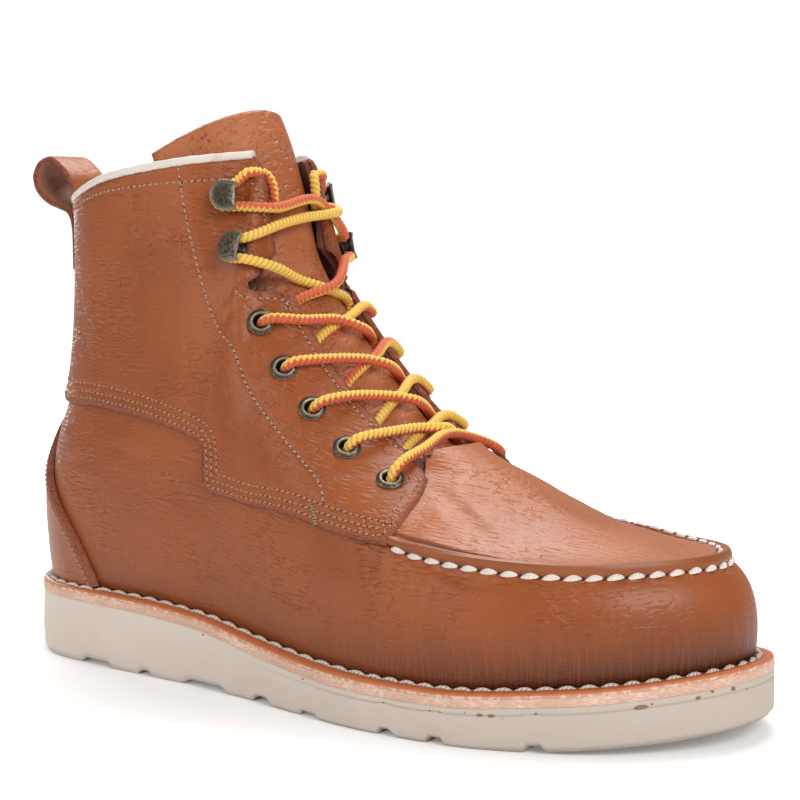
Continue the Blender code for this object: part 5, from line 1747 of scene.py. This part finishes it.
def hook_profile(at):
    """Section of a hook seated at a height: plate, post and foot."""
    top = at + HOOK_LIFT
    return [
        # radius, height, cut, wear
        (0.01, top, 1, 0.0),
        (2.2, top - 0.02, 1, 0.0),
        (4.0, top - 0.12, 1, 0.05),
        (HOOK_RADIUS - 0.35, top - 0.28, 1, 0.55),
        (HOOK_RADIUS, top - 0.62, 1, 0.75),
        (HOOK_RADIUS - 0.05, top - 1.15, 1, 0.2),
        (HOOK_RADIUS - 0.5, top - 1.45, 1, 0.0),
        (3.0, top - 1.7, 0, 0.0),
        (2.1, top - 2.0, 0, 0.0),
        (1.95, at + 1.4, 0, 0.0),
        (2.3, at + 0.9, 0, 0.0),
        (3.3, at + 0.55, 0, 0.2),
        (3.4, at + 0.1, 0, 0.2),
        (3.3, at - 0.25, 0, 0.0),
        (0.01, at - 0.25, 0, 0.0),
    ]


def hook_reach(medial):
    """Plate radius by angle: a circle whose front is cut straight, with an ear at each end of the cut."""
    turn = ring_angles(HOOK_SEGMENTS) + (math.pi if medial else 0)
    turn = np.mod(turn + math.pi, 2 * math.pi) - math.pi
    front = 1 - smooth(0.80, 0.96, np.abs(turn))
    chord = 0.58 / np.cos(np.clip(turn, -0.95, 0.95))
    ear = 0.15 * np.exp(-((np.abs(turn) - 0.92) / 0.12) ** 2)
    return 1 + front * (chord - 1) + ear


def build_fasteners():
    """Eyelet rings with a rolled flange, and hooks: a plate with a straight front on a post over a foot."""
    rings, hooks = [], []
    for medial in (False, True):
        spots = list(zip(EYELETS + HOOKS, *fastener_spots(medial)))
        for spot, centre, out in spots[:len(EYELETS)]:
            at = seat(*spot, medial, centre, out, EYELET_FLANGE)
            rings.append(turned(eyelet_profile(at), centre, out, EYELET_SEGMENTS))
        for spot, centre, out in spots[len(EYELETS):]:
            at = seat(*spot, medial, centre, out, HOOK_FOOT)
            hooks.append(turned(hook_profile(at), centre, out, HOOK_SEGMENTS, hook_reach(medial)))
    for name, kind, parts in (("eyelet_rings", "eyelet", rings), ("speed_hooks", "hook", hooks)):
        points, quads, wear_and_highlight = gathered(parts)
        nodes = [f"{kind}_{side}_{k + 1}" for side in SIDES for k in range(len(parts) // 2)]
        make_piece(name, points, quads, BRASS, nodes, marks={"wear_and_highlight": wear_and_highlight}, weld=True)


# Lace

# Places where the lace crosses the edge of the facing at each eyelet: over it on the near and on
# the far side, and under it
LACE_OVER = (0.626, 0.5905, 0.565, 0.5425, 0.519)
LACE_OVER_FAR = (0.613, 0.584, 0.559, 0.5365, 0.513)
LACE_UNDER = (0.604, 0.581, 0.557, 0.531, 0.505)
# Level at which it crosses that edge, and its depth under an eyelet
FACING_RIM = 0.985
LACE_DEPTH = 3.6
# Height of a lace that lies on the quarter, and angles round a low hook and a high hook
LACE_ON_QUARTER = QUARTER_TOP + LACE_RADIUS
LOW_HOOK_TURN = (-62, -115, 180, 115, 66)
HIGH_HOOK_TURN = (-60, -115, 180, 105)


def over_tongue(row, aside, lift):
    """Point over the tongue's outer face at a row, a distance to one side and a height above it."""
    mx, mz, tilt, side, depth = [float(curve(row, TONGUE_ROWS, k)) for k in range(1, 6)]
    angle = math.asin(max(-0.95, min(0.95, aside / side)))
    d = depth * (1 - math.cos(angle))
    tilt = math.radians(tilt)
    middle = float(curve(mx, THROAT_LINE))
    point = np.array([mx - math.sin(tilt) * d, middle + aside, mz - math.cos(tilt) * d])
    return point + np.array([math.sin(tilt), 0.0, math.cos(tilt)]) * lift


def row_near(point):
    """Row of the tongue whose middle is level with a point of the facing."""
    fine = np.linspace(0, len(TONGUE) - 1, 201)
    mx, mz = curve(fine, TONGUE_ROWS, 1), curve(fine, TONGUE_ROWS, 2)
    return float(fine[np.argmin((mx - point[0]) ** 2 + (mz - point[2]) ** 2)])


def over_facing(place, level, medial, height):
    """Point over the facing at a height above the upper's face."""
    return layer(np.array([loop_of(place, medial)]), np.array([level]), np.array([height]))[0]


def into_eyelet(index, medial):
    """Lace points that cross the edge of the facing, lie on an eyelet's flange and go down its hole."""
    centres, outs = fastener_spots(medial)
    centre, out = centres[index], outs[index]
    at = seat(*EYELETS[index], medial, centre, out, EYELET_FLANGE)
    lift = at + EYELET_LIFT + LACE_RADIUS
    rim = over_facing(LACE_OVER[index], FACING_RIM, medial, 3.9)
    toward = unit(rim - centre - out * ((rim - centre) @ out))
    down = [centre + out * (at + 1.6) + toward * 1.7, centre + out * (at - 1.2) + toward * 0.3,
            centre - out * LACE_DEPTH]
    if medial:
        rim = over_facing(LACE_OVER_FAR[index], 0.997, medial, 2.7)
        return [rim, centre + out * (lift - 0.8) + toward * 5.6] + down
    return [rim, centre + out * (lift + 0.1) + toward * 5.0] + down


def from_under(index, medial):
    """Lace points under a facing: from an eyelet's hole to where the lace comes out from its edge."""
    centres, outs = fastener_spots(medial)
    place = LACE_UNDER[index]
    return [centres[index] - outs[index] * LACE_DEPTH,
            over_facing(place, 0.93, medial, -UPPER_WALL - LACE_RADIUS - 0.3),
            over_facing(place, 0.995, medial, -0.8 - 0.5 * LACE_RADIUS)]


def strand(index, from_medial):
    """Path of one lace strand from under one facing, over the tongue, to the next eyelet across.

    The strands that end on the lateral side lie on the others.
    """
    start = from_under(index, from_medial)
    end = into_eyelet(index + 1, not from_medial)
    row = 0.5 * (row_near(start[-1]) + row_near(end[0]))
    sign = 1.0 if from_medial else -1.0
    high = 2 * LACE_RADIUS if from_medial else 0.0
    lift = LACE_RADIUS + 0.1
    middle = [over_tongue(row - 0.16 * from_medial, 0.0, lift + high)]
    if from_medial:
        middle.append(over_tongue(row + 0.10, -sign * 9.0, lift + 0.8 * high))
    return start + middle + end


def hook_axis(index, medial):
    """Centre, outward direction, seat and forward and upward directions of a hook."""
    centres, outs = fastener_spots(medial)
    centre, out = centres[len(EYELETS) + index], outs[len(EYELETS) + index]
    at = seat(*HOOKS[index], medial, centre, out, HOOK_FOOT)
    ahead, up = axes_of(out)
    return centre, out, at, -ahead if medial else ahead, up


def round_hook(index, medial, angles):
    """Lace points round the post of a hook at angles from forward (0) to up (90 degrees)."""
    centre, out, at, ahead, up = hook_axis(index, medial)
    clear = 2.0 + LACE_RADIUS + 0.1
    turn = np.radians(np.asarray(angles, float))[:, None]
    ring = ahead * np.cos(turn) + up * np.sin(turn)
    return list(centre + out * (at + 0.9 + LACE_RADIUS + 0.6) + clear * ring)


def hook_strand(from_medial):
    """Path from the top eyelet of one side round the low hook across to the high hook of its own side."""
    medial = not from_medial
    sign = 1.0 if medial else -1.0
    lift = LACE_RADIUS + 0.2

    def edge(place, far, height):
        """Point over the edge of the facing across, or of its own side."""
        return over_facing(place, FACING_RIM, medial != far, LACE_ON_QUARTER + height)

    points = from_under(len(EYELETS) - 1, from_medial)
    round_low = round_hook(0, medial, LOW_HOOK_TURN)
    if from_medial:
        points += [over_tongue(5.27, 0.0, lift), over_tongue(5.50, sign * 11.0, lift + 0.6)]
        points += [edge(0.479, False, 0.6)] + round_low
        points += [edge(0.4515, False, 1.6), over_tongue(6.65, 0.0, lift + 2.4), edge(0.4465, True, 3.0)]
    else:
        points += [over_tongue(5.25, 0.0, lift + 2 * LACE_RADIUS)]
        points += [edge(0.473, False, 1.4)] + round_low
        points += [edge(0.4455, False, 0.2), over_tongue(7.05, 4.0, lift + 3.4), edge(0.4445, True, 1.6)]
    return points + round_hook(1, from_medial, HIGH_HOOK_TURN)


def end_cord(medial):
    """Path of a lace end: up from the high hook in an arch over the facing, down beside the tongue."""
    sign = 1.0 if medial else -1.0
    return round_hook(1, medial, (105, 75)) + [
        over_facing(0.401, 0.960, medial, LACE_ON_QUARTER + 0.8),
        over_facing(0.417, 0.968, medial, LACE_ON_QUARTER + 1.6),
        over_tongue(7.58, sign * 14.3, LACE_RADIUS + 4.0),
        over_tongue(7.32, sign * 12.3, LACE_RADIUS + 3.6),
        over_tongue(6.86, sign * 12.0, LACE_RADIUS + 1.4)]


def braided(path, aims):
    """Braided cord along a path: radius swells in two rows of lobes, offset by half a pitch.

    The lobes follow the cosine of the distance along plus twice the angle round the cord.  The
    yellow side faces an angle from upwards (0) to the viewer (90 degrees), given at shares of the path.
    Gives points, faces, flow, yellow side, gaps between the lobes and the middle line.
    """
    count = int(run_of(np.asarray(path, float))[-1] / 0.25)
    line = eased(rounded(path, count), count, 60)
    run = run_of(line)[:, None]
    turn = ring_angles(BRAID_AROUND)
    wave = np.cos(2 * math.pi * run / BRAID_PITCH + 2 * turn)
    points, ring = tube(line, LACE_RADIUS * (0.945 + 0.075 * wave), BRAID_AROUND)
    ahead = heading(line)
    faces = []
    for share, aim in aims:
        k = min(count - 1, int(share * (count - 1)))
        high = unit(np.array((0.0, 0.0, 1.0)) - ahead[k] * ahead[k, 2])
        front = np.cross(high, ahead[k])
        front = front * np.sign(front @ VIEWED_FROM)
        goal = high * math.cos(math.radians(aim)) + front * math.sin(math.radians(aim))
        faces.append(math.atan2(float(goal @ np.cross(ahead[k], ring[k, 0])), float(goal @ ring[k, 0])))
    facing = np.interp(np.linspace(0, 1, count), [share for share, _ in aims], np.unwrap(faces))
    side = capped(np.cos(turn - facing[:, None]))
    # Where the cord is thinnest, between the lobes, for their painted shade
    gap = capped(np.clip(-wave, 0, 1) ** 2)
    flow = capped(np.stack(np.broadcast_arrays(run, turn * LACE_RADIUS), -1))
    points = capped(points, line[0], line[-1])
    quads = cells(*points.shape[:2], ring=True)[:, ::-1]
    return points, quads, flow.reshape(-1, 2), side.ravel(), gap.ravel(), line


def lace_piece(name, cords, nodes):
    """One piece from several braided cords, and the middle line of the last."""
    made = [braided(path, aims) for path, aims in cords]
    points, quads, flow, side, gap, _ = gathered(made)
    item = make_piece(name, points, quads, BRAID, nodes, flow=flow,
                      marks={"side": side, "gap": gap}, weld=True)
    return item, made[-1][5]


# Which way the yellow side looks on each strand that ends on the lateral, then the medial side
NEAR_AIMS = (10.0, -22.0, -30.0, -42.0)
FAR_AIMS = (75.0, 60.0, 165.0, 10.0)


def build_laces():
    """Bar, crossings and hook strands as one piece, and the two tucked ends as cords."""
    bar = into_eyelet(0, False)[::-1] + [over_tongue(1.55, 0.0, LACE_RADIUS + 2.6)] + into_eyelet(0, True)
    cords = [(bar, ((0.3, -28.0), (0.7, -50.0)))]
    for k in range(len(EYELETS) - 1):
        cords.append((strand(k, True), ((0.5, NEAR_AIMS[k]),)))
        cords.append((strand(k, False), ((0.5, FAR_AIMS[k]),)))
    cords.append((hook_strand(True), ((0.25, 110.0), (0.45, 95.0), (0.70, 70.0))))
    cords.append((hook_strand(False), ((0.20, 215.0), (0.45, 215.0), (0.70, 200.0))))
    lace_piece("lacing", cords, ["lace_bar"] + [f"lace_cross_{k}" for k in range(1, 7)])
    for medial, side in enumerate(SIDES):
        cord = (end_cord(medial), ((0.4, -15.0),))
        item, line = lace_piece(f"lace_tail_{side}", [cord], [f"lace_end_{side}"])
        line = to_frame(line)


# Stage


def build_stage():
    """White floor, white surroundings, soft lamps and the camera at the photo's angle.

    Far from the boot the floor is seen as white as the background, so no horizon shows.
    """
    mesh = bpy.data.meshes.new("floor")
    corners = [(x * FLOOR_REACH, y * FLOOR_REACH, 0) for x, y in ((-1, -1), (1, -1), (1, 1), (-1, 1))]
    mesh.from_pydata(corners, [], [(0, 1, 2, 3)])
    made, tree = new_finish("studio_floor", Roughness=0.9, Base_Color=(0.88, 0.88, 0.88, 1.0),
                            Specular_IOR_Level=0.1, Emission_Strength=1.0)
    away = add(tree, "ShaderNodeVectorMath", {"operation": "LENGTH"}, _0=object_place(tree)).outputs["Value"]
    seen = add(tree, "ShaderNodeLightPath").outputs["Is Camera Ray"]
    glow = times(tree, seen, ramp(tree, away, 0.12, 0.40, 0.16, 1.0))
    glow = blend(tree, glow, (0.0, 0.0, 0.0), (1.0, 1.0, 1.0))
    tree.links.new(glow, tree.nodes["Principled BSDF"].inputs["Emission Color"])
    mesh.materials.append(made)
    floor = bpy.data.objects.new("studio_floor", mesh)
    bpy.context.collection.objects.link(floor)
    world = bpy.data.worlds.new("studio")
    bpy.context.scene.world = world
    world.use_nodes = True
    tree = world.node_tree
    seen = add(tree, "ShaderNodeLightPath").outputs["Is Camera Ray"]
    tree.links.new(maths(tree, "MULTIPLY_ADD", seen, 0.72, 0.33), tree.nodes["Background"].inputs["Strength"])
    tree.nodes["Background"].inputs["Color"].default_value = (1.0, 1.0, 1.0, 1.0)
    for name, spot, size, power in LAMPS:
        data = bpy.data.lights.new(name, "AREA")
        data.shape = "DISK"
        data.size = size
        data.energy = power
        lamp = bpy.data.objects.new(name, data)
        lamp.location = spot
        lamp.rotation_euler = (Vector(LAMP_AIM) - Vector(spot)).to_track_quat("-Z", "Y").to_euler()
        bpy.context.collection.objects.link(lamp)
    data = bpy.data.cameras.new("photo_camera")
    data.sensor_width = SENSOR
    data.lens = FOCAL_PIXELS / IMAGE_PIXELS * SENSOR
    camera = bpy.data.objects.new("photo_camera", data)
    back = Vector(VIEWED_FROM)
    camera.location = Vector(to_frame(CAMERA_TARGET)) + back * CAMERA_DISTANCE * MM
    camera.rotation_euler = back.to_track_quat("Z", "Y").to_euler()
    bpy.context.collection.objects.link(camera)
    scene = bpy.context.scene
    scene.camera = camera
    scene.view_settings.view_transform = "Standard"
    scene.view_settings.look = "None"


def main():
    """Build the stage and every piece, and give the insole its finish."""
    build_stage()
    build_laces()
    build_sole()
    build_upper()
    build_lining()
    for medial in (False, True):
        build_quarter(medial)
    build_backstay()
    build_apron()
    build_tongue()
    build_binding()
    build_pull_loop()
    build_fasteners()
    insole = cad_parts["insole"]
    insole.data.materials.clear()
    insole.data.materials.append(FOOTBED)


main()
